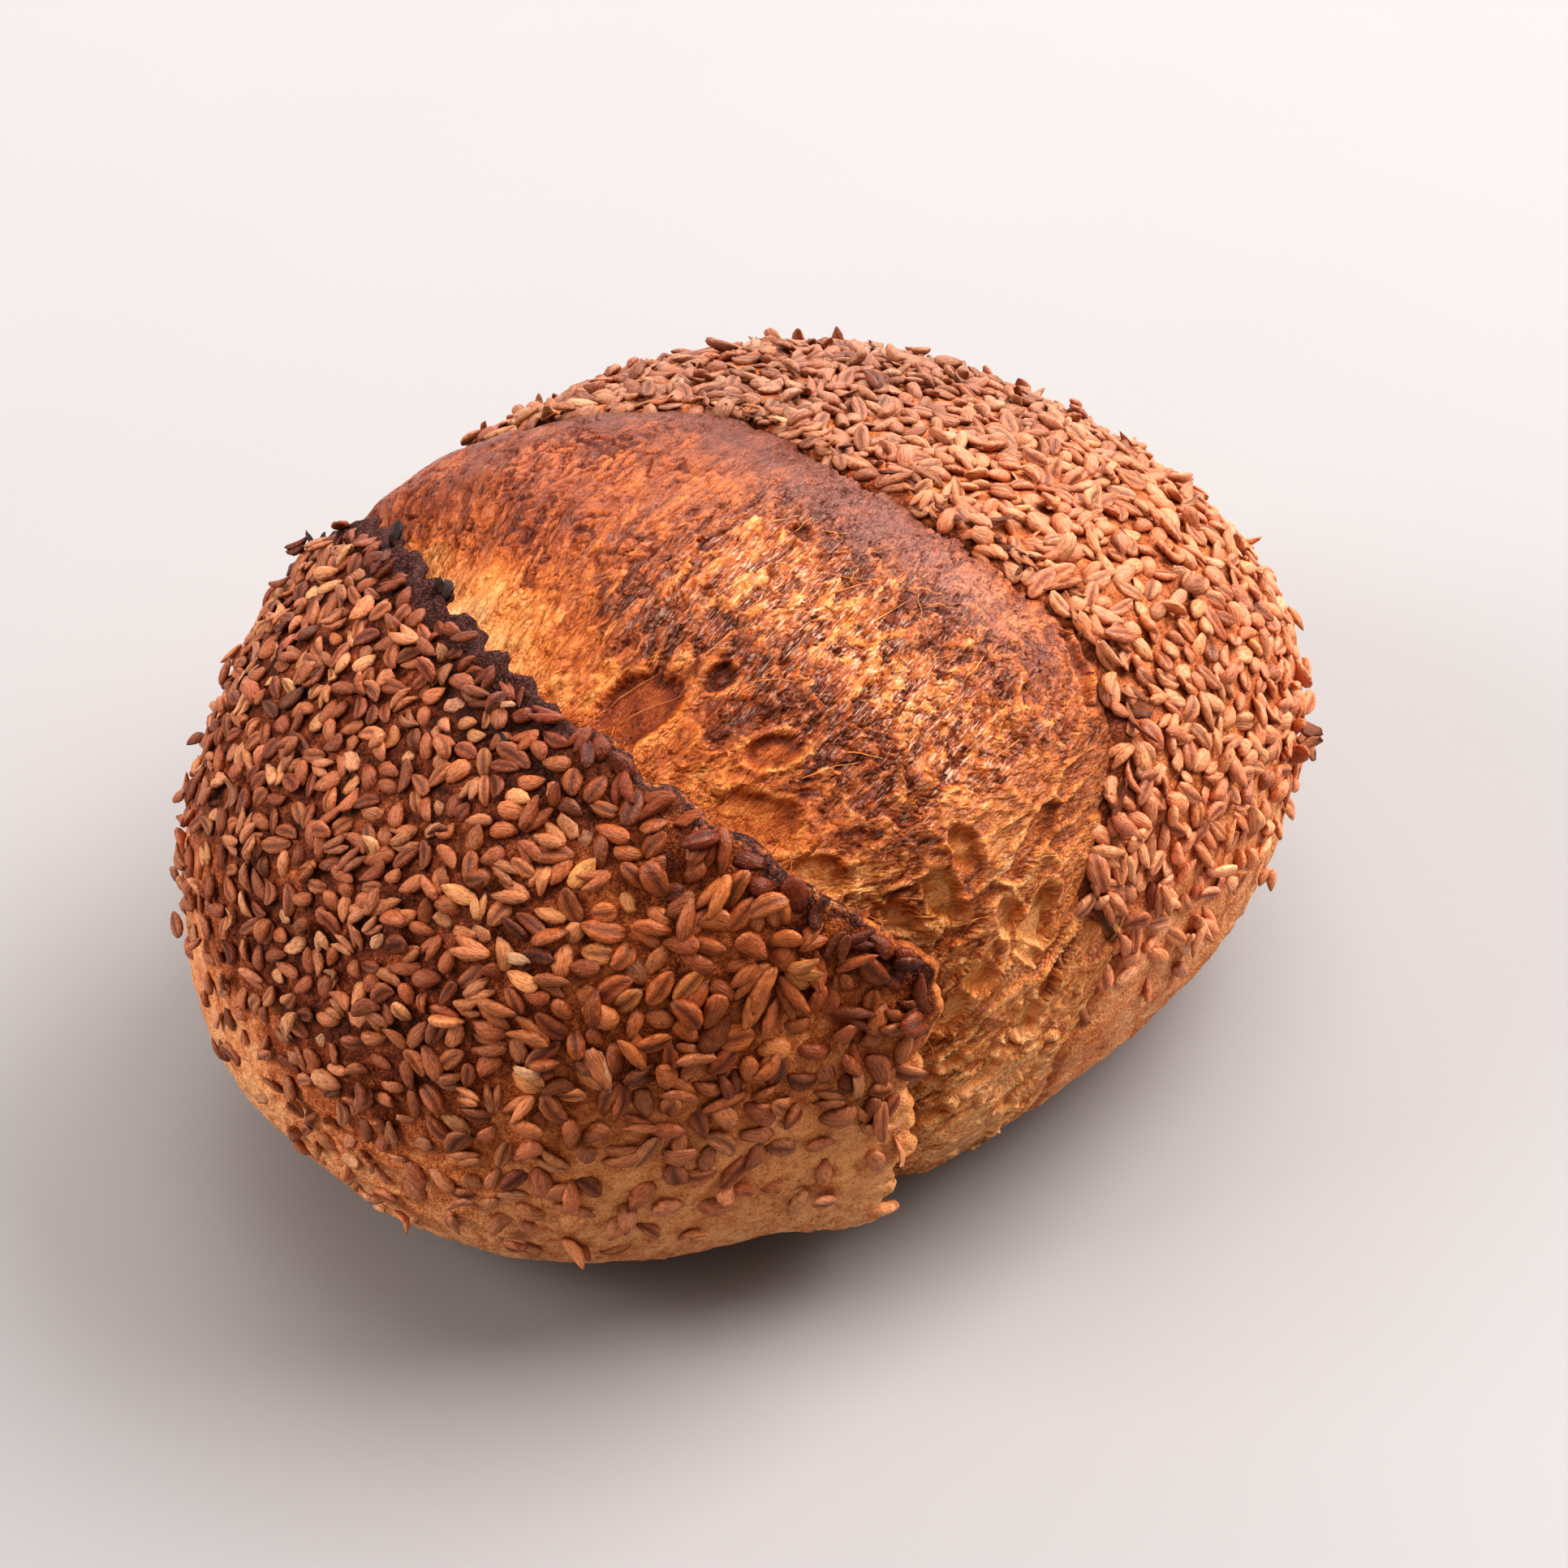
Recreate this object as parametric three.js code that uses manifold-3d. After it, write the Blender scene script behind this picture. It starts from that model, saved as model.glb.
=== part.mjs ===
// A seeded sourdough loaf: an oval hearth loaf with one curved slash across it.
// In the oven the crust on the slashed side lifted into an ear with a thick edge, and the crumb behind it
// rose into a torn bloom that runs to the other cap of crust. Seeds stick to both caps.
// Millimetres, +Z up. X runs along the loaf, from the slashed cap at -X to the plain cap at +X.
// The origin is in the middle of the flat base.

import * as THREE from "three";
import { mergeVertices } from "three/addons/utils/BufferGeometryUtils.js";
import Module from "manifold-3d";

const wasm = await Module();
wasm.setup();

// The loaf before its slash opens: a rounded oval, cut flat below.
const HALF_LENGTH = 90;
const HALF_WIDTH = 68;
const GIRTH_HEIGHT = 36;
const CROWN_RISE = 55;
const BELLY_DEPTH = 45;
const ROUNDNESS = 2.45;
const WIDTH_TAPER = 0.1;
const CROWN_LEAN = -0.13;
const BELLY_TURN = 10;
const BASE_TRIM = 0.8;

// Places on the loaf are two angles in degrees. Sweep runs from the slashed end, 0, to the plain end, 180.
// Roll turns about the long axis: 0 is the crown, 90 the side at -Y and -90 the side at +Y.
const EAR_MIDDLE_SWEEP = 58;
const EAR_SWING = 10.5;
const EAR_NEAREST_ROLL = 12;
const EAR_CURVE = 2.15;
const EAR_CURVE_END = 112;
const EAR_CORNER_SWEEP = 6;
const EAR_CORNER_ROLL = 72;
const EAR_CORNER_SPREAD = 9;
const MARGIN_SIDE_SWEEP = 87;
const MARGIN_CROWN_SWEEP = 23;
const MARGIN_RISE_ROLLS = [-50, -15];
const MARGIN_FALL_ROLLS = [46, 74];
const SLASH_START_ROLLS = [-94, -66];
const SLASH_END_ROLLS = [108, 128];

// The ear, the valley behind it and the bloom.
const EAR_LIFT = 2.2;
const EAR_LIFT_SWEEP = 16;
const EAR_THICKNESS = 3.2;
const EAR_OVERHANG = 3.4;
const EAR_RAGGED = 0.9;
const EAR_TAIL_LIFT = 2.2;
const EAR_TAIL_ROLL = 108;
const EAR_TAIL_SPREAD = 12;
const VALLEY_DEPTH = 6;
const VALLEY_SIDE_DEPTH = 3.8;
const VALLEY_SIDE_ROLLS = [40, 75];
const VALLEY_SHARE = 0.42;
const BLOOM_BULGE = 3.4;
const BLOOM_PEAK = 1.6;
const BLOOM_FULL_SWEEP = 62;
const BLOOM_FOLD = 0.55;
const CRUST_EDGE = 1.3;
const CRUST_EDGE_SWEEP = 1.4;

// Hollows torn in the bloom: share of the way from valley to crust, roll, half sizes along and around, depth.
const HOLLOWS = [
  { share: 0.12, roll: 14, along: 6, around: 6, depth: 2.4 },
  { share: 0.24, roll: 37, along: 5, around: 4, depth: 1.8 },
  { share: 0.34, roll: 62, along: 4, around: 4, depth: 2.2 },
  { share: 0.8, roll: 73, along: 3.5, around: 5, depth: 2.6 },
  { share: 0.55, roll: 85, along: 3, around: 5, depth: 2 },
  { share: 0.97, roll: 50, along: 2.5, around: 6, depth: 2 },
  { share: 0.98, roll: 6, along: 2.5, around: 5, depth: 1.8 },
  { share: 0.3, roll: -32, along: 6, around: 6, depth: 1.6 },
  { share: 0.5, roll: -58, along: 4, around: 6, depth: 1.6 },
];

// Seeds, with the crust band where they lie. Under and between them is a coat of smaller seeds and flakes.
const SEED_COAT = 1.2;
const SEED_COAT_HEIGHTS = [24, 46];
const SEED_LENGTH = 4.9;
const SEED_WIDTH = 2.9;
const SEED_THICKNESS = 1.9;
const SEED_TIP = 0.45;
const SEED_SUNK = 0.3;
const SEED_STATIONS = 330;
const SEED_LOWEST = 20;
const SEED_CLEAR_SWEEP = 4.5;
const SEED_RANDOM_START = 20251;

// Mesh fineness: rows along each stretch of the loaf, columns around it.
const CAP_ROWS = 10;
const LIP_ROWS = 3;
const UNDER_LIP_ROWS = 2;
const BLOOM_ROWS = 13;
const EDGE_ROWS = 1;
const FAR_ROWS = 10;
const COLUMNS = 56;
const PLAIN_LIP_SWEEP = 2;

const rad = THREE.MathUtils.degToRad;
const { lerp } = THREE.MathUtils;

/** 0 below low, 1 above high and a smooth rise between. */
function ramp(low, high, x) {
  return THREE.MathUtils.smoothstep(x, low, high);
}

/** Unit direction from the middle of the girth at a sweep and roll in degrees. */
function direction(sweep, roll) {
  const s = Math.sin(rad(sweep));
  return new THREE.Vector3(-Math.cos(rad(sweep)), -s * Math.sin(rad(roll)), s * Math.cos(rad(roll)));
}

/** Distance from the middle of the girth to the surface of the loaf before its slash opens. */
function formRadius(sweep, roll) {
  const d = direction(sweep, roll);
  const halfWidth = HALF_WIDTH * (1 + WIDTH_TAPER * d.x);
  const halfHeight = d.z > 0 ? CROWN_RISE * (1 + CROWN_LEAN * d.x) : BELLY_DEPTH;
  const power = (value, size) => Math.abs(value / size) ** ROUNDNESS;
  const sum = power(d.x, HALF_LENGTH) + power(d.y, halfWidth) + power(d.z, halfHeight);
  const free = sum ** (-1 / ROUNDNESS);
  if (d.z > -1e-6) return free;
  const floor = -GIRTH_HEIGHT / d.z;
  return (free ** -BELLY_TURN + floor ** -BELLY_TURN) ** (-1 / BELLY_TURN);
}

/** Sweep of the ear's free edge at a roll. */
function earSweep(roll) {
  const bend = Math.min(EAR_CURVE * Math.abs(roll - EAR_NEAREST_ROLL), EAR_CURVE_END);
  const corner = Math.exp(-(((roll - EAR_CORNER_ROLL) / EAR_CORNER_SPREAD) ** 2));
  const ragged = EAR_RAGGED * (Math.sin(rad(23 * roll)) + 0.6 * Math.sin(rad(41 * roll + 70)));
  return EAR_MIDDLE_SWEEP - EAR_SWING * Math.cos(rad(bend)) + EAR_CORNER_SWEEP * corner + ragged * openness(roll);
}

/** Sweep of the crust's torn margin on the far side of the bloom. */
function marginSweep(roll) {
  const wide = ramp(...MARGIN_RISE_ROLLS, roll) * (1 - ramp(...MARGIN_FALL_ROLLS, roll));
  return MARGIN_SIDE_SWEEP + MARGIN_CROWN_SWEEP * wide;
}

/** How far the slash has opened at a roll, from 0 where the crust is whole to 1. */
function openness(roll) {
  return ramp(...SLASH_START_ROLLS, roll) * (1 - ramp(...SLASH_END_ROLLS, roll));
}

/** How far the free edge of the ear stands over the unslashed form at a roll. */
function earLift(roll) {
  return EAR_LIFT + EAR_TAIL_LIFT * Math.exp(-(((roll - EAR_TAIL_ROLL) / EAR_TAIL_SPREAD) ** 2));
}

/** Depth of the valley behind the ear at a roll. */
function valleyDepth(roll) {
  return lerp(VALLEY_DEPTH, VALLEY_SIDE_DEPTH, ramp(...VALLEY_SIDE_ROLLS, roll));
}

/** Depth of the hollows torn in the bloom at a share of the way across and a roll. */
function hollowDepth(share, roll, span) {
  let depth = 0;
  for (const hollow of HOLLOWS) {
    const along = ((share - hollow.share) * span) / hollow.along;
    const around = (rad(roll - hollow.roll) * CROWN_RISE) / hollow.around;
    depth += hollow.depth * Math.exp(-(along ** 2) - around ** 2);
  }
  return depth;
}

/** Height of the bloom over the unslashed form, from the valley at share 0 to the crust at 1. */
function bloomHeight(share, roll) {
  const sweepSpan = marginSweep(roll) - earSweep(roll);
  const valley = -valleyDepth(roll) * (1 - ramp(0, VALLEY_SHARE, share));
  const bulge = BLOOM_BULGE * (sweepSpan / BLOOM_FULL_SWEEP) * Math.sin(Math.PI * share ** BLOOM_PEAK);
  const folds = BLOOM_FOLD * Math.sin(rad(17 * roll + 40 * Math.sin(5 * share))) * Math.sin(Math.PI * share);
  return valley + bulge + folds - hollowDepth(share, roll, rad(sweepSpan) * CROWN_RISE);
}

/** Every station along one meridian, each with its sweep on whole crust, and its sweep and height when open. */
function stations(roll) {
  const ear = earSweep(roll);
  const margin = marginSweep(roll);
  const earHeight = earLift(roll);
  const sweepPerMm = THREE.MathUtils.RAD2DEG / formRadius(ear, roll);
  const half = EAR_THICKNESS / 2;
  const valleySweep = ear - EAR_OVERHANG * sweepPerMm;
  const list = [];
  for (let i = 1; i <= CAP_ROWS; i++) {
    const sweep = (ear * i) / CAP_ROWS;
    const lift = earHeight * ramp(ear - EAR_LIFT_SWEEP, ear, sweep);
    list.push({ whole: sweep, open: sweep, height: lift });
  }
  for (let i = 1; i <= LIP_ROWS; i++) {
    const turn = (Math.PI * i) / LIP_ROWS;
    const open = ear + half * Math.sin(turn) * sweepPerMm;
    list.push({
      whole: ear + (PLAIN_LIP_SWEEP * i) / LIP_ROWS,
      open,
      height: earHeight - half * (1 - Math.cos(turn)),
    });
  }
  const wholeValley = ear + 2 * PLAIN_LIP_SWEEP;
  for (let i = 1; i <= UNDER_LIP_ROWS; i++) {
    const t = i / UNDER_LIP_ROWS;
    list.push({
      whole: lerp(ear + PLAIN_LIP_SWEEP, wholeValley, t),
      open: lerp(ear, valleySweep, Math.sin((Math.PI / 2) * t)),
      height: lerp(earHeight - EAR_THICKNESS, -valleyDepth(roll), t * t),
    });
  }
  for (let i = 1; i <= BLOOM_ROWS; i++) {
    const t = (i / BLOOM_ROWS) ** 1.25;
    list.push({
      whole: lerp(wholeValley, margin, t),
      open: lerp(valleySweep, margin, t),
      height: bloomHeight(t, roll),
    });
  }
  for (let i = 1; i <= EDGE_ROWS; i++) {
    const sweep = margin + (CRUST_EDGE_SWEEP * i) / EDGE_ROWS;
    list.push({ whole: sweep, open: sweep, height: CRUST_EDGE });
  }
  const edgeEnd = margin + CRUST_EDGE_SWEEP;
  for (let i = 1; i < FAR_ROWS; i++) {
    const sweep = lerp(edgeEnd, 180, i / FAR_ROWS);
    list.push({ whole: sweep, open: sweep, height: CRUST_EDGE * (1 - ramp(0, 0.4, i / FAR_ROWS)) });
  }
  return list;
}

/** Thickness of the coat under the seeds at a place: none on the bloom or low on the belly. */
function seedCoat(sweep, roll) {
  const ear = earSweep(roll);
  const margin = marginSweep(roll);
  const bloom = ramp(ear - 1, ear + 1, sweep) * (1 - ramp(margin - 1, margin + 1, sweep)) * openness(roll);
  const level = GIRTH_HEIGHT + direction(sweep, roll).z * formRadius(sweep, roll);
  return SEED_COAT * (1 - bloom) * ramp(...SEED_COAT_HEIGHTS, level);
}

/** Point of the loaf at a sweep, a roll and a height over the unslashed form, standing on the flat base. */
function surfacePoint(sweep, roll, height) {
  const reach = formRadius(sweep, roll) + seedCoat(sweep, roll) + height;
  const point = direction(sweep, roll).multiplyScalar(reach);
  point.z = Math.max(point.z + GIRTH_HEIGHT - BASE_TRIM, 0);
  return point;
}

/** The loaf's body as one closed mesh: a ring of points at each station, closed at both ends of the loaf. */
function bodyGeometry() {
  const points = [];
  const faces = [];
  const rolls = Array.from({ length: COLUMNS }, (_, j) => -180 + (360 * (j + 0.5)) / COLUMNS);
  for (const roll of rolls) {
    const open = openness(roll);
    for (const { whole, open: opened, height } of stations(roll)) {
      points.push(surfacePoint(lerp(whole, opened, open), roll, height * open));
    }
  }
  const rows = points.length / COLUMNS;
  const nearEnd = points.push(surfacePoint(0, 0, 0)) - 1;
  const farEnd = points.push(surfacePoint(180, 0, 0)) - 1;
  for (let j = 0; j < COLUMNS; j++) {
    const here = j * rows;
    const next = ((j + 1) % COLUMNS) * rows;
    faces.push(nearEnd, next, here, farEnd, here + rows - 1, next + rows - 1);
    for (let i = 0; i + 1 < rows; i++) {
      faces.push(here + i, next + i, next + i + 1, here + i, next + i + 1, here + i + 1);
    }
  }
  return new THREE.BufferGeometry().setFromPoints(points).setIndex(faces);
}

/** A fixed run of numbers from 0 to 1. */
function randomRun(state) {
  return () => {
    state = (state * 16807) % 2147483647;
    return state / 2147483647;
  };
}

/** One seed, flat and round at one end and drawn to a tip at the other. */
function seedGeometry() {
  const geometry = new THREE.SphereGeometry(1, 6, 4).rotateZ(Math.PI / 2);
  const position = geometry.getAttribute("position");
  for (let i = 0; i < position.count; i++) {
    const narrow = 1 - SEED_TIP * Math.max(position.getX(i), 0);
    position.setXYZ(
      i,
      (position.getX(i) * SEED_LENGTH) / 2,
      (position.getY(i) * narrow * SEED_WIDTH) / 2,
      (position.getZ(i) * narrow * SEED_THICKNESS) / 2,
    );
  }
  return geometry;
}

/** Places where seeds lie: an even spiral over the loaf, kept to the two caps of crust and off the low belly. */
function seedPlaces(body) {
  const random = randomRun(SEED_RANDOM_START);
  const golden = Math.PI * (3 - Math.sqrt(5));
  const middle = new THREE.Vector3(0, 0, GIRTH_HEIGHT - BASE_TRIM);
  const ray = new THREE.Raycaster();
  const places = [];
  for (let i = 0; i < SEED_STATIONS; i++) {
    const up = 1 - (2 * (i + 0.5)) / SEED_STATIONS;
    const outward = new THREE.Vector3().setFromCylindricalCoords(Math.sqrt(1 - up ** 2), golden * i, up);
    outward.set(outward.z, outward.x, outward.y);
    const sweep = THREE.MathUtils.radToDeg(Math.acos(-outward.x));
    const roll = THREE.MathUtils.radToDeg(Math.atan2(-outward.y, outward.z));
    const turn = 2 * Math.PI * random();
    const onNearCap = sweep < earSweep(roll) - SEED_CLEAR_SWEEP;
    const onFarCap = sweep > marginSweep(roll) + SEED_CLEAR_SWEEP;
    if (!onNearCap && !onFarCap) continue;
    ray.set(middle, outward);
    const hit = ray.intersectObject(body).at(-1);
    if (hit.point.z > SEED_LOWEST) places.push({ point: hit.point, normal: hit.face.normal, turn });
  }
  return places;
}

/** A three.js geometry as a solid that can be joined. */
function toSolid(geometry) {
  geometry.deleteAttribute("normal");
  geometry.deleteAttribute("uv");
  const merged = mergeVertices(geometry, 1e-4);
  const vertProperties = new Float32Array(merged.getAttribute("position").array);
  const triVerts = new Uint32Array(merged.index.array);
  return new wasm.Manifold(new wasm.Mesh({ numProp: 3, vertProperties, triVerts }));
}

/** A joined solid as a three.js geometry. */
function toGeometry(solid) {
  const mesh = solid.getMesh();
  const geometry = new THREE.BufferGeometry();
  geometry.setAttribute("position", new THREE.BufferAttribute(mesh.vertProperties, mesh.numProp));
  geometry.setIndex(new THREE.BufferAttribute(mesh.triVerts, 1));
  geometry.computeVertexNormals();
  return geometry;
}

/** The body with every seed sunk a little into its crust. */
function seededLoaf() {
  const geometry = bodyGeometry();
  const body = new THREE.Mesh(geometry, new THREE.MeshBasicMaterial({ side: THREE.DoubleSide }));
  const upward = new THREE.Vector3(0, 0, 1);
  const unit = new THREE.Vector3(1, 1, 1);
  let loaf = toSolid(geometry);
  for (const { point, normal, turn } of seedPlaces(body)) {
    point.addScaledVector(normal, (0.5 - SEED_SUNK) * SEED_THICKNESS);
    const stand = new THREE.Quaternion().setFromUnitVectors(upward, normal);
    const spin = new THREE.Quaternion().setFromAxisAngle(upward, turn);
    const place = new THREE.Matrix4().compose(point, stand.multiply(spin), unit);
    loaf = loaf.add(toSolid(seedGeometry().applyMatrix4(place)));
  }
  return toGeometry(loaf);
}

const crust = new THREE.MeshStandardMaterial({ color: 0x8a4a1f, roughness: 0.6, metalness: 0 });

const loaf = new THREE.Mesh(seededLoaf(), crust);
loaf.name = "loaf";

const part = new THREE.Group();
part.add(loaf);

export default part;
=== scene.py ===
"""A seeded sourdough loaf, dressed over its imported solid.

The crust with its ear, the torn bloom, the seeds and the loose flakes are each built by a class.
Sizes are in millimetres in the loaf's own frame, and become metres where a mesh is made. Places on the
loaf are a sweep, from the slashed end to the plain end, and a roll about the long axis, both in degrees.
"""
from __future__ import annotations

import logging
from dataclasses import dataclass, field, replace
from enum import Enum
from itertools import product
from typing import Callable

import bpy
import numpy as np
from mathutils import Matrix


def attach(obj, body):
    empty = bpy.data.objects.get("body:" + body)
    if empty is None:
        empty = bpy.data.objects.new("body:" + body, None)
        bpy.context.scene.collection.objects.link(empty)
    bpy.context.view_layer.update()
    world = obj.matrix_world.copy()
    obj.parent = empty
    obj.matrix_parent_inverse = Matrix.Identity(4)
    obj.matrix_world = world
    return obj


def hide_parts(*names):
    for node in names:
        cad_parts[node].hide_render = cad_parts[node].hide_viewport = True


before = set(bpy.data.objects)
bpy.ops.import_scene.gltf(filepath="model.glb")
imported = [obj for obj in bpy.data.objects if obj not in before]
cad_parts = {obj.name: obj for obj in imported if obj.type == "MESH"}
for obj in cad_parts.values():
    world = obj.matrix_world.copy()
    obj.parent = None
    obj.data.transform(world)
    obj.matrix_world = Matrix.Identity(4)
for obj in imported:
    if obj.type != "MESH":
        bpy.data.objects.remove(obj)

MM = 0.001
BODY = "root"
NODE = "loaf"

NEIGHBOURS = tuple(product((-1, 0, 1), repeat=3))
CRUMB_RADIUS = (1.0, 0.35, 0.12)
MID_GREY = (0.5, 0.5, 0.5)
GOLDEN_ANGLE = 2.39996
MARK_SHIFT = 90.0
ASKEW = (0.31, 0.77, 0.56)

log = logging.getLogger("loaf")

Array = np.ndarray
Colour = tuple[float, float, float]
Shades = tuple[tuple[float, Colour], ...]
Span = tuple[float, float]
Socket = bpy.types.NodeSocket
Piece = bpy.types.Object
Finish = bpy.types.Material


def ease(low: float | Array, high: float | Array, value: float | Array) -> Array:
    """Gives a smooth rise from 0 at low to 1 at high.

    Args:
        low: Value where the rise starts.
        high: Value where the rise ends.
        value: Where to read the rise.

    Returns:
        The risen share, from 0 to 1.
    """
    share = np.clip((np.asarray(value, float) - low) / (np.asarray(high, float) - low), 0.0, 1.0)
    return share * share * (3.0 - 2.0 * share)


def blend(first: float | Array, second: float | Array, share: float | Array) -> Array:
    """Mixes two values, all of the first at share 0 and all of the second at 1."""
    return first + (np.asarray(second) - first) * share


def hump(value: float | Array, middle: float, spread: float) -> Array:
    """Gives a rounded hump that is 1 at its middle."""
    return np.exp(-(((np.asarray(value, float) - middle) / spread) ** 2))


def soften(values: Array, steps: int) -> Array:
    """Averages each value of a grid with its four neighbours, again and again.

    Args:
        values: The grid.
        steps: How many times.

    Returns:
        The softened grid.
    """
    for _ in range(steps):
        edge = np.pad(values, 1, mode="edge")
        values = (2.0 * values + edge[:-2, 1:-1] + edge[2:, 1:-1] + edge[1:-1, :-2] + edge[1:-1, 2:]) / 6.0
    return values


class Grain:
    """Smooth seeded noise over points, for relief and colour that never repeat."""

    def __init__(self, seed: int) -> None:
        """Fixes the grain's slopes.

        Args:
            seed: Seed of the run of random numbers.
        """
        rng = np.random.default_rng(seed)
        slopes = rng.normal(size=(256, 3))
        self._slopes = slopes / np.linalg.norm(slopes, axis=1, keepdims=True)
        self._order = rng.permutation(256)
        self._jitter = rng.random((256, 2))

    def _key(self, *steps: Array) -> Array:
        """Hashes whole-number lattice steps.

        Args:
            steps: Steps along each way of the lattice.

        Returns:
            A number below 256 for each place.
        """
        key = np.zeros_like(steps[0])
        for step in steps:
            key = self._order[(key + step) & 255]
        return key

    def at(self, points: Array) -> Array:
        """Reads the grain.

        Args:
            points: Points, three numbers each, in steps of the grain.

        Returns:
            A value from about -1 to 1 for each point.
        """
        cell = np.floor(points).astype(np.int64)
        part = points - cell
        fade = part**3 * (part * (part * 6.0 - 15.0) + 10.0)
        total = np.zeros(points.shape[:-1])
        for corner in product((0, 1), repeat=3):
            step = cell + corner
            slope = self._slopes[self._key(step[..., 0], step[..., 1], step[..., 2])]
            reach = np.einsum("...i,...i->...", slope, part - corner)
            total += reach * np.prod(np.where(corner, fade, 1.0 - fade), axis=-1)
        return 1.7 * total

    def layers(self, points: Array, count: int, gain: float = 0.5) -> Array:
        """Adds finer and finer layers of the grain.

        Args:
            points: Points in steps of the coarsest layer.
            count: Number of layers, each twice as fine.
            gain: Strength of each layer against the one before.

        Returns:
            A value from about -1 to 1 for each point.
        """
        total = sum(gain**i * self.at(points * 2.0**i + 17.3 * i) for i in range(count))
        return total / sum(gain**i for i in range(count))

    def crests(self, points: Array, count: int = 1, gain: float = 0.5) -> Array:
        """Reads the grain as thin crests.

        Args:
            points: Points in steps of the coarsest layer.
            count: Number of layers, each twice as fine.
            gain: Strength of each layer against the one before.

        Returns:
            A value for each point, 1 on a crest and falling to 0 between crests.
        """
        total = sum(gain**i * (1.0 - np.abs(self.at(points * 2.0**i + 9.1 * i))) for i in range(count))
        return total / sum(gain**i for i in range(count))

    def cells(self, across: Array, along: Array) -> tuple[Array, Array, Array]:
        """Splits a plane into uneven cells.

        Args:
            across: First coordinate, in cell widths.
            along: Second coordinate, in cell widths.

        Returns:
            How much farther the second nearest cell middle is than the nearest, a number from 0 to 1 that
            is the same all over one cell, and how far along from its cell's middle each place lies.
        """
        base_u, base_v = np.floor(across).astype(np.int64), np.floor(along).astype(np.int64)
        near = np.full(across.shape, 9.0)
        second = np.full(across.shape, 9.0)
        own = np.zeros(across.shape)
        lean = np.zeros(across.shape)
        for step_u, step_v in product((-1, 0, 1), repeat=2):
            u, v = base_u + step_u, base_v + step_v
            key = self._key(u, v)
            offset = self._jitter[key]
            gap = np.hypot(u + offset[..., 0] - across, v + offset[..., 1] - along)
            second = np.minimum(second, np.maximum(near, gap))
            own = np.where(gap < near, key / 255.0, own)
            lean = np.where(gap < near, along - v - offset[..., 1], lean)
            near = np.minimum(near, gap)
        return second - near, own, lean


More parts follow.
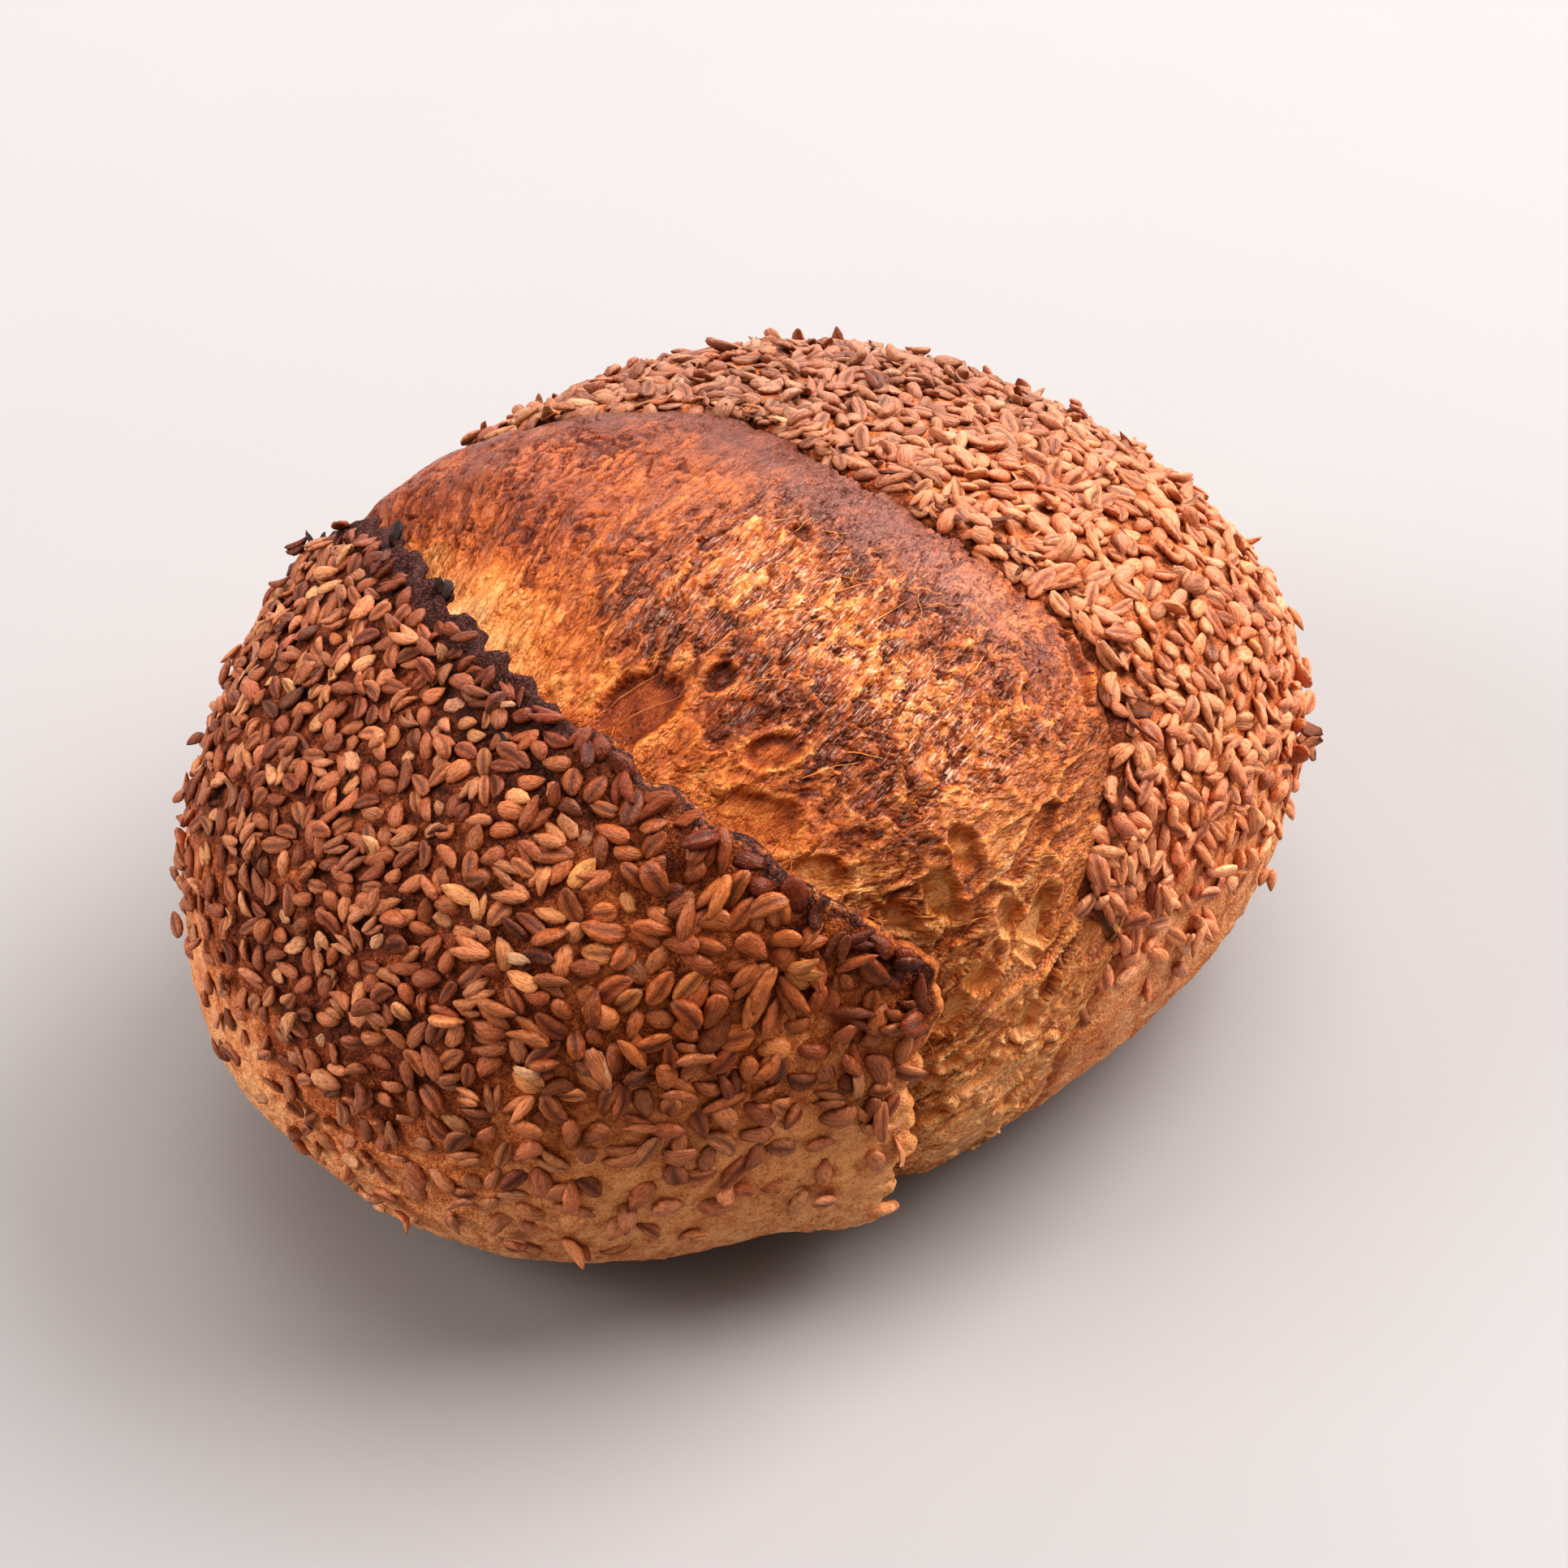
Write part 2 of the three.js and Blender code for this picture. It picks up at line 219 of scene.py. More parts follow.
@dataclass(frozen=True)
class LoafForm:
    """The loaf's form: a rounded oval cut flat below, with one slash that opened. Sizes as in the solid."""

    half_length: float = 90.0
    half_width: float = 68.0
    girth_height: float = 36.0
    crown_rise: float = 55.0
    belly_depth: float = 45.0
    roundness: float = 2.45
    width_taper: float = 0.1
    crown_lean: float = -0.13
    belly_turn: float = 10.0
    base_trim: float = 0.8
    ear_lift: float = 2.2
    ear_tail_lift: float = 2.2
    ear_overhang: float = 3.4
    valley_depth: float = 6.0
    valley_side_depth: float = 3.8
    bloom_bulge: float = 3.4

    def direction(self, sweep: Array, roll: Array) -> Array:
        """Unit directions from the middle of the girth."""
        s, r = np.radians(sweep), np.radians(roll)
        return np.stack([-np.cos(s) + 0.0 * r, -np.sin(s) * np.sin(r), np.sin(s) * np.cos(r)], -1)

    def radius(self, sweep: Array, roll: Array) -> Array:
        """Works out the loaf before its slash opened.

        Args:
            sweep: Sweeps to read.
            roll: Rolls to read.

        Returns:
            The distance from the middle of the girth.
        """
        d = self.direction(sweep, roll)
        wide = self.half_width * (1.0 + self.width_taper * d[..., 0])
        crown = self.crown_rise * (1.0 + self.crown_lean * d[..., 0])
        high = np.where(d[..., 2] > 0, crown, self.belly_depth)
        power = self.roundness
        total = np.abs(d[..., 0] / self.half_length) ** power
        total += np.abs(d[..., 1] / wide) ** power + np.abs(d[..., 2] / high) ** power
        free = total ** (-1.0 / power)
        floor = self.girth_height / np.maximum(-d[..., 2], 1e-6)
        turned = (free**-self.belly_turn + floor**-self.belly_turn) ** (-1.0 / self.belly_turn)
        return np.where(d[..., 2] < -1e-6, turned, free)

    def ear_sweep(self, roll: Array) -> Array:
        """Sweep of the ear's free edge."""
        bend = np.minimum(2.15 * np.abs(roll - 12.0), 112.0)
        return 58.0 - 10.5 * np.cos(np.radians(bend)) + 6.0 * hump(roll, 72.0, 9.0)

    def margin_sweep(self, roll: Array) -> Array:
        """Sweep of the crust's torn margin behind the bloom."""
        return 87.0 + 23.0 * ease(-50.0, -15.0, roll) * (1.0 - ease(46.0, 74.0, roll))

    def openness(self, roll: Array) -> Array:
        """How far the slash has opened, from 0 where the crust is whole to 1."""
        return ease(-94.0, -66.0, roll) * (1.0 - ease(108.0, 128.0, roll))

    def lift(self, roll: Array) -> Array:
        """How far the ear's free edge stands over the unslashed form."""
        return self.ear_lift + self.ear_tail_lift * hump(roll, 108.0, 12.0)

    def valley(self, roll: Array) -> Array:
        """Depth of the valley behind the ear."""
        return blend(self.valley_depth, self.valley_side_depth, ease(40.0, 75.0, roll))

    def bloom_height(self, share: Array, roll: Array) -> Array:
        """Works out how high the bloom stands over the unslashed form.

        Args:
            share: Share of the way from the valley at 0 to the crust at 1.
            roll: Rolls to read.

        Returns:
            The height in millimetres.
        """
        span = (self.margin_sweep(roll) - self.ear_sweep(roll)) / 62.0
        inside = np.clip(share, 0.0, 1.0)
        rise = -self.valley(roll) * (1.0 - ease(0.0, 0.42, share))
        return rise + self.bloom_bulge * span * np.sin(np.pi * inside**1.6)

    def degrees_per_mm(self, sweep: Array, roll: Array) -> Array:
        """Sweep in degrees that one millimetre along the surface takes."""
        return np.degrees(1.0) / self.radius(sweep, roll)

    def axes(self, sweep: float, roll: float) -> tuple[Array, Array, Array]:
        """Directions on the surface at one place.

        Args:
            sweep: Sweep of the place.
            roll: Roll of the place.

        Returns:
            The way towards the plain end, the way round the loaf, and the way out.
        """
        nudge = 0.5
        sweeps = np.array([sweep, sweep + nudge, sweep])
        rolls = np.array([roll, roll, roll + nudge])
        near = self.point(sweeps, rolls, np.zeros(3))
        ahead, round_ = near[1] - near[0], near[2] - near[0]
        out = np.cross(round_, ahead)
        out *= np.sign(out @ self.direction(np.array(sweep), np.array(roll)))
        return tuple(way / np.linalg.norm(way) for way in (ahead, round_, out))

    def point(self, sweep: Array, roll: Array, height: Array) -> Array:
        """Finds points of the loaf, standing on its flat base.

        Args:
            sweep: Their sweeps.
            roll: Their rolls.
            height: Their heights over the unslashed form.

        Returns:
            The points in millimetres.
        """
        reach = self.radius(sweep, roll) + height
        points = self.direction(sweep, roll) * reach[..., None]
        points[..., 2] = np.maximum(points[..., 2] + self.girth_height - self.base_trim, 0.0)
        return points


def add_primitive(operator: Callable, name: str, **size: float) -> Piece:
    """Adds a primitive with nothing else selected.

    Args:
        operator: The primitive's operator.
        name: Name for the new object and its mesh.
        size: The operator's own settings.

    Returns:
        The new object.
    """
    bpy.ops.object.select_all(action="DESELECT")
    operator(**size)
    piece = bpy.context.active_object
    piece.name = piece.data.name = name
    return piece


def corners(piece: Piece) -> Array:
    """Reads a piece's vertices.

    Args:
        piece: The piece to read.

    Returns:
        Their places, in the mesh's own units.
    """
    flat = np.empty(len(piece.data.vertices) * 3)
    piece.data.vertices.foreach_get("co", flat)
    return flat.reshape(-1, 3)


def ordered_faces(piece: Piece) -> list[tuple[int, ...]]:
    """Reads a piece's faces in one fixed order, as a primitive's own order varies.

    Args:
        piece: The piece to read.

    Returns:
        The faces, each a ring of corners that starts at its lowest.
    """
    faces = []
    for face in piece.data.polygons:
        ring = tuple(face.vertices)
        first = ring.index(min(ring))
        faces.append(ring[first:] + ring[:first])
    return sorted(faces)


def move_corners(piece: Piece, points: Array) -> None:
    """Moves a piece's vertices to points in millimetres."""
    piece.data.vertices.foreach_set("co", (points * MM).astype(np.float32).ravel())
    piece.data.update()


def write_layer(piece: Piece, name: str, values: Array) -> None:
    """Stores a layer for the finishes to read.

    Args:
        piece: The piece.
        name: The layer's name.
        values: One number, or three, for each vertex.
    """
    vector = values.ndim == 2
    layer = piece.data.attributes.new(name, "FLOAT_VECTOR" if vector else "FLOAT", "POINT")
    layer.data.foreach_set("vector" if vector else "value", values.astype(np.float32).ravel())


def weld(piece: Piece, gap: float = 2e-6) -> None:
    """Merges a piece's doubled vertices and turns its faces outwards.

    Args:
        piece: The piece.
        gap: How close doubled vertices lie, in metres.
    """
    bpy.ops.object.select_all(action="DESELECT")
    piece.select_set(True)
    bpy.context.view_layer.objects.active = piece
    bpy.ops.object.mode_set(mode="EDIT")
    bpy.ops.mesh.select_all(action="SELECT")
    bpy.ops.mesh.remove_doubles(threshold=gap)
    bpy.ops.mesh.normals_make_consistent(inside=False)
    bpy.ops.object.mode_set(mode="OBJECT")


def hand_over(piece: Piece, finish: Finish) -> None:
    """Gives a piece its finish, fixes it to the loaf's body and reports it.

    Args:
        piece: The piece.
        finish: Its material.
    """
    piece.data.materials.clear()
    piece.data.materials.append(finish)
    piece.data.polygons.foreach_set("use_smooth", np.ones(len(piece.data.polygons), bool))
    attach(piece, BODY)
    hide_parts(NODE)
    piece.data.calc_loop_triangles()
    log.info("%s: %d triangles", piece.name, len(piece.data.loop_triangles))


class NodePen:
    """Draws a material's nodes in short lines, where a value is a socket to link to or a constant."""

    def __init__(self, name: str) -> None:
        """Starts an empty material with one shader.

        Args:
            name: The material's name.
        """
        self.material = bpy.data.materials.new(name)
        self.material.use_nodes = True
        self.tree = self.material.node_tree
        self.tree.nodes.clear()
        self.shader = self._node("BsdfPrincipled", {})
        self._node("OutputMaterial", {"Surface": self.shader.outputs["BSDF"]})
        self._space = self._node("TexCoord", {}).outputs["Object"]

    def _fill(self, socket: Socket, value: object) -> None:
        """Links a socket, or sets its constant, or leaves it as it is.

        Args:
            socket: The socket to fill.
            value: Another socket, a constant, or None.
        """
        if isinstance(value, Socket):
            self.tree.links.new(value, socket)
        elif value is not None:
            socket.default_value = (*value, 1.0) if socket.type == "RGBA" else value

    def _node(self, kind: str, fills: dict[int | str, object], **settings: object) -> bpy.types.Node:
        """Adds a node.

        Args:
            kind: The node's kind.
            fills: Values for its inputs, by name or by number.
            settings: The node's own settings.

        Returns:
            The node.
        """
        node = self.tree.nodes.new("ShaderNode" + kind)
        for name, setting in settings.items():
            setattr(node, name, setting)
        for key, value in fills.items():
            self._fill(node.inputs[key], value)
        return node

    def layer(self, name: str, vector: bool = False) -> Socket:
        """Reads one of the mesh's stored layers, of one number or of three."""
        return self._node("Attribute", {}, attribute_name=name).outputs["Vector" if vector else "Fac"]

    def place(self, scale: tuple[float, float, float], vector: object = None) -> Socket:
        """Scales a place, or the loaf's own space, before a texture reads it."""
        return self._node("Mapping", {"Vector": vector or self._space, "Scale": scale}).outputs["Vector"]

    def noise(
        self,
        size: float,
        detail: float = 2.0,
        rough: float = 0.55,
        twist: float = 0.0,
        vector: object = None,
    ) -> Socket:
        """Adds noise with lumps of a size in millimetres, or in the vector's own steps.

        Args:
            size: Size of the lumps.
            detail: Number of finer layers.
            rough: Strength of the finer layers.
            twist: How far the lumps are twisted.
            vector: Place to read, or nothing for the loaf's own space.

        Returns:
            The noise, from 0 to 1.
        """
        fills = {"Vector": vector or self._space, "Scale": 1.0 / (size if vector else size * MM)}
        fills |= {"Detail": detail, "Roughness": rough, "Distortion": twist}
        return self._node("TexNoise", fills).outputs["Fac"]

    def reckon(self, kind: str, first: object, second: object, result: str = "Vector") -> Socket:
        """Works out one step of arithmetic on places."""
        return self._node("VectorMath", {0: first, 1: second}, operation=kind).outputs[result]

    def stir(self, vector: object, size: float, reach: float) -> Socket:
        """Pushes a place about by a noise.

        Args:
            vector: The place.
            size: Size of the noise's lumps, in the place's own steps.
            reach: How far it pushes, in the same steps.

        Returns:
            The pushed place.
        """
        lumps = self._node("TexNoise", {"Vector": vector, "Scale": 1.0 / size}).outputs["Color"]
        push = self.reckon("SUBTRACT", lumps, MID_GREY)
        return self.reckon("ADD", vector, self.reckon("MULTIPLY", push, (4.0 * reach,) * 3))

    def chips(self, vector: object) -> tuple[Socket, Socket]:
        """Splits a flat place into uneven chips.

        Args:
            vector: Place to read, in chip widths.

        Returns:
            A number from 0 to 1 for each chip, and a height that tilts every chip its own way.
        """
        node = self._node("TexVoronoi", {}, voronoi_dimensions="2D")
        self._fill(node.inputs["Vector"], vector)
        self._fill(node.inputs["Scale"], 1.0)
        own = self._node("SeparateXYZ", {0: node.outputs["Color"]}).outputs["Z"]
        inside = self.reckon("SUBTRACT", vector, node.outputs["Position"])
        slope = self.reckon("SUBTRACT", node.outputs["Color"], MID_GREY)
        return own, self.reckon("DOT_PRODUCT", inside, slope, "Value")

    def math(self, kind: str, first: object, second: object = 0.0, third: object = 0.0) -> Socket:
        """Works out one step of arithmetic."""
        return self._node("Math", {0: first, 1: second, 2: third}, operation=kind).outputs[0]

    def sway(self, base: object, noise: object, strength: float) -> Socket:
        """Moves a value up and down by a noise, by about the strength from trough to crest."""
        gain = 2.2 * strength
        return self.math("ADD", base, self.math("MULTIPLY_ADD", noise, gain, -0.5 * gain))

    def span(self, value: object, low: float, high: float, start: float = 0.0, end: float = 1.0) -> Socket:
        """Maps a value smoothly from one span to another and keeps it inside."""
        fills = dict(enumerate((value, low, high, start, end)))
        return self._node("MapRange", fills, interpolation_type="SMOOTHSTEP").outputs["Result"]

    def shades(self, value: object, stops: Shades) -> Socket:
        """Turns a value into a colour along a row of shades.

        Args:
            value: The value.
            stops: Places along the row and their colours.

        Returns:
            The colour.
        """
        node = self._node("ValToRGB", {"Fac": value})
        elements = node.color_ramp.elements
        while len(elements) < len(stops):
            elements.new(0.5)
        for element, (place, colour) in zip(elements, stops):
            element.position = place
            element.color = (*colour, 1.0)
        return node.outputs["Color"]

    def mix(self, share: object, first: object, second: object, kind: str = "MIX") -> Socket:
        """Mixes two colours, all of the second at share 1."""
        fills = {0: share, 6: first, 7: second}
        return self._node("Mix", fills, data_type="RGBA", blend_type=kind).outputs[2]

    def bump(self, height: object, depth: float, under: object = None) -> Socket:
        """Roughens the surface, or a coarser roughening, by a height with a depth in millimetres."""
        fills = {"Distance": depth * MM, "Height": height, "Normal": under}
        return self._node("Bump", fills).outputs["Normal"]

    def finish(self, **sockets: object) -> Finish:
        """Sets the shader's sockets, named with underscores for spaces.

        Args:
            sockets: Values or links for the shader.

        Returns:
            The finished material.
        """
        for name, value in sockets.items():
            self._fill(self.shader.inputs[name.replace("_", " ")], value)
        return self.material


@dataclass(frozen=True)
class CrustFinish:
    """Baked crust: floury tan low down to dark brown, clear amber by the ear's tail, char along the ear. Its
    dark brown high up is partly painted shade between the seeds, and a painted shadow line runs along the
    torn margin.
    """

    shades: Shades = (
        (0.0, (0.77, 0.42, 0.215)),
        (0.22, (0.64, 0.265, 0.112)),
        (0.45, (0.43, 0.135, 0.047)),
        (0.7, (0.19, 0.048, 0.016)),
        (1.0, (0.045, 0.011, 0.005)),
    )
    amber_shades: Shades = (
        (0.0, (0.80, 0.40, 0.17)),
        (0.4, (0.50, 0.18, 0.056)),
        (0.7, (0.25, 0.068, 0.017)),
        (1.0, (0.06, 0.013, 0.005)),
    )
    char: Colour = (0.038, 0.011, 0.008)
    ash: Colour = (0.135, 0.052, 0.042)

    def make(self) -> Finish:
        """Builds the material.

        Returns:
            The material.
        """
        pen = NodePen("baked_crust")
        mottle = pen.noise(6.0, 3.0, 0.6, 0.4)
        blister = pen.noise(1.5, 3.0, 0.6)
        speck = pen.noise(0.4, 2.0)
        bake_and_painted_shading = pen.layer("bake_and_painted_shading")
        for noise, strength in ((mottle, 0.4), (blister, 0.36), (speck, 0.32)):
            bake_and_painted_shading = pen.sway(bake_and_painted_shading, noise, strength)
        amber = pen.layer("amber")
        colour = pen.mix(amber, pen.shades(bake_and_painted_shading, self.shades), pen.shades(bake_and_painted_shading, self.amber_shades))
        burnt = pen.span(pen.sway(pen.layer("char"), blister, 0.7), 0.3, 0.7)
        colour = pen.mix(burnt, colour, pen.mix(pen.span(speck, 0.42, 0.7), self.char, self.ash))
        rough = pen.sway(pen.span(amber, 0.0, 1.0, 0.54, 0.26), blister, 0.26)
        rough = pen.math("MULTIPLY_ADD", burnt, 0.16, rough)
        coarse = pen.bump(pen.noise(2.2, 4.0, 0.65), 0.9)
        fine = pen.bump(speck, 0.3, coarse)
        return pen.finish(Base_Color=colour, Roughness=rough, Specular_IOR_Level=0.2, Normal=fine)


@dataclass(frozen=True)
class BloomFinish:
    """Torn crumb that browned in the oven: pale golden in its cells, a dark skin on its ridges tinted plum,
    with painted glints, a painted sheen, and painted light and shade in its browning.
    """

    shades: Shades = (
        (0.0, (0.88, 0.44, 0.175)),
        (0.2, (0.78, 0.312, 0.085)),
        (0.4, (0.60, 0.178, 0.038)),
        (0.6, (0.40, 0.104, 0.025)),
        (0.8, (0.235, 0.049, 0.011)),
        (1.0, (0.135, 0.024, 0.005)),
    )
    glint: Colour = (0.93, 0.62, 0.45)
    plum_and_painted_sheen: Colour = (0.43, 0.215, 0.175)
    burnt: Colour = (0.14, 0.026, 0.006)

    def make(self) -> Finish:
        """Builds the material.

        Returns:
            The material.
        """
        pen = NodePen("torn_bloom")
        tear = pen.layer("tear", vector=True)
        fibre = pen.noise(1.0, 3.0, 0.6, 0.7, pen.place((1.3, 0.2, 1.0), tear))
        thread = pen.noise(1.0, 2.0, 0.6, 0.4, pen.place((3.2, 0.5, 1.0), tear))
        grit = pen.noise(0.55, 3.0, 0.65)
        scale = pen.noise(1.0, 4.0, 0.7, 0.8, pen.place((0.85, 0.5, 1.0), tear))
        patch = pen.noise(8.0, 4.0, 0.6, 0.6)
        bake_and_painted_shading = pen.layer("bake_and_painted_shading")
        for noise, strength in ((patch, 0.4), (fibre, 0.24), (thread, 0.16), (grit, 0.13)):
            bake_and_painted_shading = pen.sway(bake_and_painted_shading, noise, strength)
        torn = pen.layer("torn")
        ragged = pen.stir(tear, 2.4, 0.8)
        large, large_tilt = pen.chips(pen.place((0.6, 0.26, 1.0), ragged))
        small, small_tilt = pen.chips(pen.place((1.5, 0.7, 1.0), ragged))
        both = pen.math("MULTIPLY_ADD", small, 0.65, large)
        uneven = pen.math("SUBTRACT", both, 0.82)
        bake_and_painted_shading = pen.math("MULTIPLY_ADD", uneven, pen.math("MULTIPLY", torn, 0.38), bake_and_painted_shading)
        lifted = pen.math("MULTIPLY_ADD", large_tilt, 2.6, pen.math("MULTIPLY", large, 0.5))
        lifted = pen.math("MULTIPLY_ADD", small_tilt, 1.3, pen.math("MULTIPLY_ADD", small, 0.25, lifted))
        lifted = pen.math("MULTIPLY", lifted, torn)
        colour = pen.shades(bake_and_painted_shading, self.shades)
        flecked = pen.math("MULTIPLY", pen.span(scale, 0.5, 0.6), pen.layer("fleck"))
        colour = pen.mix(flecked, colour, self.burnt)
        # The ridge is tinted plum, partly as its colour and partly as painted sheen, and the sheen spot gets
        # painted sheen.
        colour = pen.mix(pen.layer("plum"), colour, self.plum_and_painted_sheen)
        # Painted glints: a pale glint colour is mixed in along the threads where the glint mask is high.
        lit = pen.math("MULTIPLY", pen.span(thread, 0.48, 0.68), pen.layer("glint_mask"))
        colour = pen.mix(lit, colour, self.glint)
        rough = pen.sway(pen.span(pen.layer("gloss"), 0.0, 1.0, 0.25, 0.24), grit, 0.16)
        normal = None
        for height, depth in ((fibre, 0.5), (scale, 0.5), (thread, 0.34), (lifted, 1.0), (grit, 0.24)):
            normal = pen.bump(height, depth, normal)
        return pen.finish(
            Base_Color=colour,
            Roughness=rough,
            Specular_IOR_Level=0.4,
            Subsurface_Weight=0.18,
            Subsurface_Radius=CRUMB_RADIUS,
            Subsurface_Scale=2.0 * MM,
            Normal=normal,
        )


@dataclass(frozen=True)
class SeedFinish:
    """Toasted seed skins: each seed has its colour, which holds painted light and shade, finely streaked,
    with darker tips, painted shade in the crease and pale painted glints.
    """

    glint_tint: Colour = (0.80, 0.44, 0.22)
    streak_keeps: Colour = (0.34, 0.24, 0.2)
    tip_and_crease_shade_keeps: Colour = (0.3, 0.2, 0.16)

    def make(self) -> Finish:
        """Builds the material.

        Returns:
            The material.
        """
        pen = NodePen("seed_skin")
        skin = pen.layer("skin", vector=True)
        mark = pen.layer("mark", vector=True)
        streak = pen.noise(0.3, 3.0, 0.6, 0.0, pen.place((0.35, 1.5, 1.0), mark))
        fleck = pen.noise(0.5, 3.0, 0.65, 0.4, mark)
        # Painted glints: pale flecks of glint colour are mixed over each seed.
        lit = pen.mix(pen.span(fleck, 0.5, 0.8, 0.0, 0.22), skin, self.glint_tint)
        streaked = pen.mix(1.0, lit, self.streak_keeps, "MULTIPLY")
        shade = pen.mix(pen.span(streak, 0.42, 0.68, 0.0, 0.6), lit, streaked)
        # The darker tip and the painted shade in the crease multiply the seed's colour down.
        tip_and_crease_shaded = pen.mix(1.0, skin, self.tip_and_crease_shade_keeps, "MULTIPLY")
        colour = pen.mix(pen.layer("crease"), shade, tip_and_crease_shaded)
        relief = pen.bump(streak, 0.18)
        return pen.finish(
            Base_Color=colour,
            Roughness=pen.span(fleck, 0.2, 0.8, 0.26, 0.46),
            Specular_IOR_Level=0.38,
            Normal=pen.bump(fleck, 0.18, relief),
        )


def unset() -> Array:
    """An empty array, for values that building fills in."""
    return np.empty(0)


@dataclass(frozen=True)
class CrustGrid:
    """Every place of the crust as rows by columns: its sweep, its roll, its point, and its column's ear."""

    sweep: Array
    roll: Array
    points: Array
    ear: Array

    @property
    def rows(self) -> Array:
        """Number of each row, standing as a column."""
        return np.arange(self.sweep.shape[0])[:, None]

    @property
    def level(self) -> Array:
        """Height of each place over the base."""
        return self.points[..., 2]

    @property
    def nearward(self) -> Array:
        """How far each place lies towards the near side, where the tail of the ear runs down."""
        return -self.points[..., 1]


@dataclass
class Crust:
    """The crust with its two caps, the ear, and the floor under the bloom, as one closed piece.

    A span gives the two rolls, or the two distances, between which a feature comes in.
    """

    form: LoafForm
    cap_rows: int = 120
    lip_rows: int = 8
    under_rows: int = 8
    floor_rows: int = 10
    edge_rows: int = 6
    far_rows: int = 116
    columns: int = 360
    crowding: float = 1.1
    cap_crowding: float = 0.85
    ear_rise: float = 16.0
    floor_depth: float = 3.2
    margin_turn: float = 1.6
    edge_radius: float = 58.0
    sweep_per_mm: float = 0.85
    char_span: Span = (-78.0, -62.0)
    tail_span: Span = (80.0, 88.0)
    corner_roll: float = 70.0
    near_side: Span = (15.0, 60.0)
    amber_side: Span = (8.0, 52.0)
    coarse: Grain = field(default_factory=lambda: Grain(11))
    fine: Grain = field(default_factory=lambda: Grain(12))
    ragged: Grain = field(default_factory=lambda: Grain(13))
    points: Array = field(default_factory=unset)
    bare: Array = field(default_factory=unset)
    scorch: Array = field(default_factory=unset)
    amber: Array = field(default_factory=unset)

    def _rolls(self) -> Array:
        """Works out the rolls of the columns, closer together along the slash.

        Returns:
            One roll for each column.
        """
        turn = np.linspace(-180.0, 180.0, 3601)
        pull = 1.0 + self.crowding * self.form.openness(turn)
        count = np.concatenate([[0.0], np.cumsum((pull[1:] + pull[:-1]) / 2.0)])
        steps = (np.arange(self.columns) + 0.5) / self.columns * count[-1]
        return np.interp(steps, count, turn)

    def _fray(self, roll: Array, *layers: tuple[float, float, float]) -> Array:
        """Adds up noises along a torn edge.

        Args:
            roll: Rolls to read.
            layers: For each noise, its strength, the size of its lumps in millimetres, and its own track.

        Returns:
            The summed noise at each roll.
        """
        around = np.radians(roll) * self.edge_radius
        total = np.zeros_like(around)
        for strength, size, track in layers:
            places = [around / size, np.full_like(around, track), np.full_like(around, 0.37)]
            total += strength * self.ragged.at(np.stack(places, -1))
        return total

    def ear_edge(self, roll: Array) -> tuple[Array, Array, Array]:
        """Works out the ear's torn edge, with nubs where it burnt and deep notches down its tail.

        Args:
            roll: Rolls to read.

        Returns:
            Its sweep, its lift and half its thickness.
        """
        opened = self.form.openness(roll)
        tail = 0.7 * ease(56.0, 64.0, roll) + 0.3 * ease(80.0, 92.0, roll) + ease(78.0, 86.0, roll)
        nubs = ease(-76.0, -66.0, roll) * (1.0 - ease(0.0, 12.0, roll))
        rough = self._fray(roll, (0.9, 9.0, 1.2), (0.8, 4.2, 5.4), (0.25, 1.2, 9.7), (0.5, 2.1, 7.1))
        rough += tail * self._fray(roll, (1.6, 3.4, 25.0), (0.8, 1.4, 27.0))
        rough += nubs * self._fray(roll, (1.2, 2.6, 31.0), (0.7, 1.2, 33.0))
        spikes = 1.6 * hump(roll, -57.0, 1.4) + 2.0 * hump(roll, -24.0, 1.0) + 1.4 * hump(roll, 3.0, 1.2)
        pull = 0.8 * ease(-78.0, -60.0, roll) * (1.0 - ease(-5.0, 8.0, roll))
        sweep = self.form.ear_sweep(roll) + (rough + 0.6 * spikes - pull) * opened
        waver = self._fray(roll, (0.6, 4.0, 8.8), (0.25, 1.3, 6.2))
        waver += nubs * self._fray(roll, (0.9, 2.6, 35.0))
        lift = self.form.lift(roll) + (waver + 0.5 * spikes) * opened
        half = 1.0 + 0.5 * hump(roll, 74.0, 11.0) + self._fray(roll, (0.25, 2.5, 3.3))
        return sweep, lift, half

    def margin_edge(self, roll: Array) -> tuple[Array, Array]:
        """Works out the torn margin of the plain cap.

        Args:
            roll: Rolls to read.

        Returns:
            Its sweep, and how far it stands up.
        """
        rough = self._fray(roll, (1.5, 8.0, 11.0), (0.9, 2.8, 15.0), (0.5, 1.3, 18.0))
        rough += 6.0 * hump(roll, 66.0, 8.0) + 8.0 * hump(roll, 84.0, 10.0)
        stand = 0.4 + 0.5 * ease(-5.0, 15.0, roll) - 0.2 * ease(66.0, 80.0, roll)
        stand = np.maximum(stand * (1.0 + self._fray(roll, (0.8, 4.0, 21.0))), 0.1)
        return self.form.margin_sweep(roll) + rough * self.form.openness(roll), stand

    @staticmethod
    def _steps(count: int, spare: int = 0) -> Array:
        """Even steps up to 1, or short of it by the spare steps, standing as a column."""
        return (np.arange(1, count + 1) / (count + spare))[:, None]

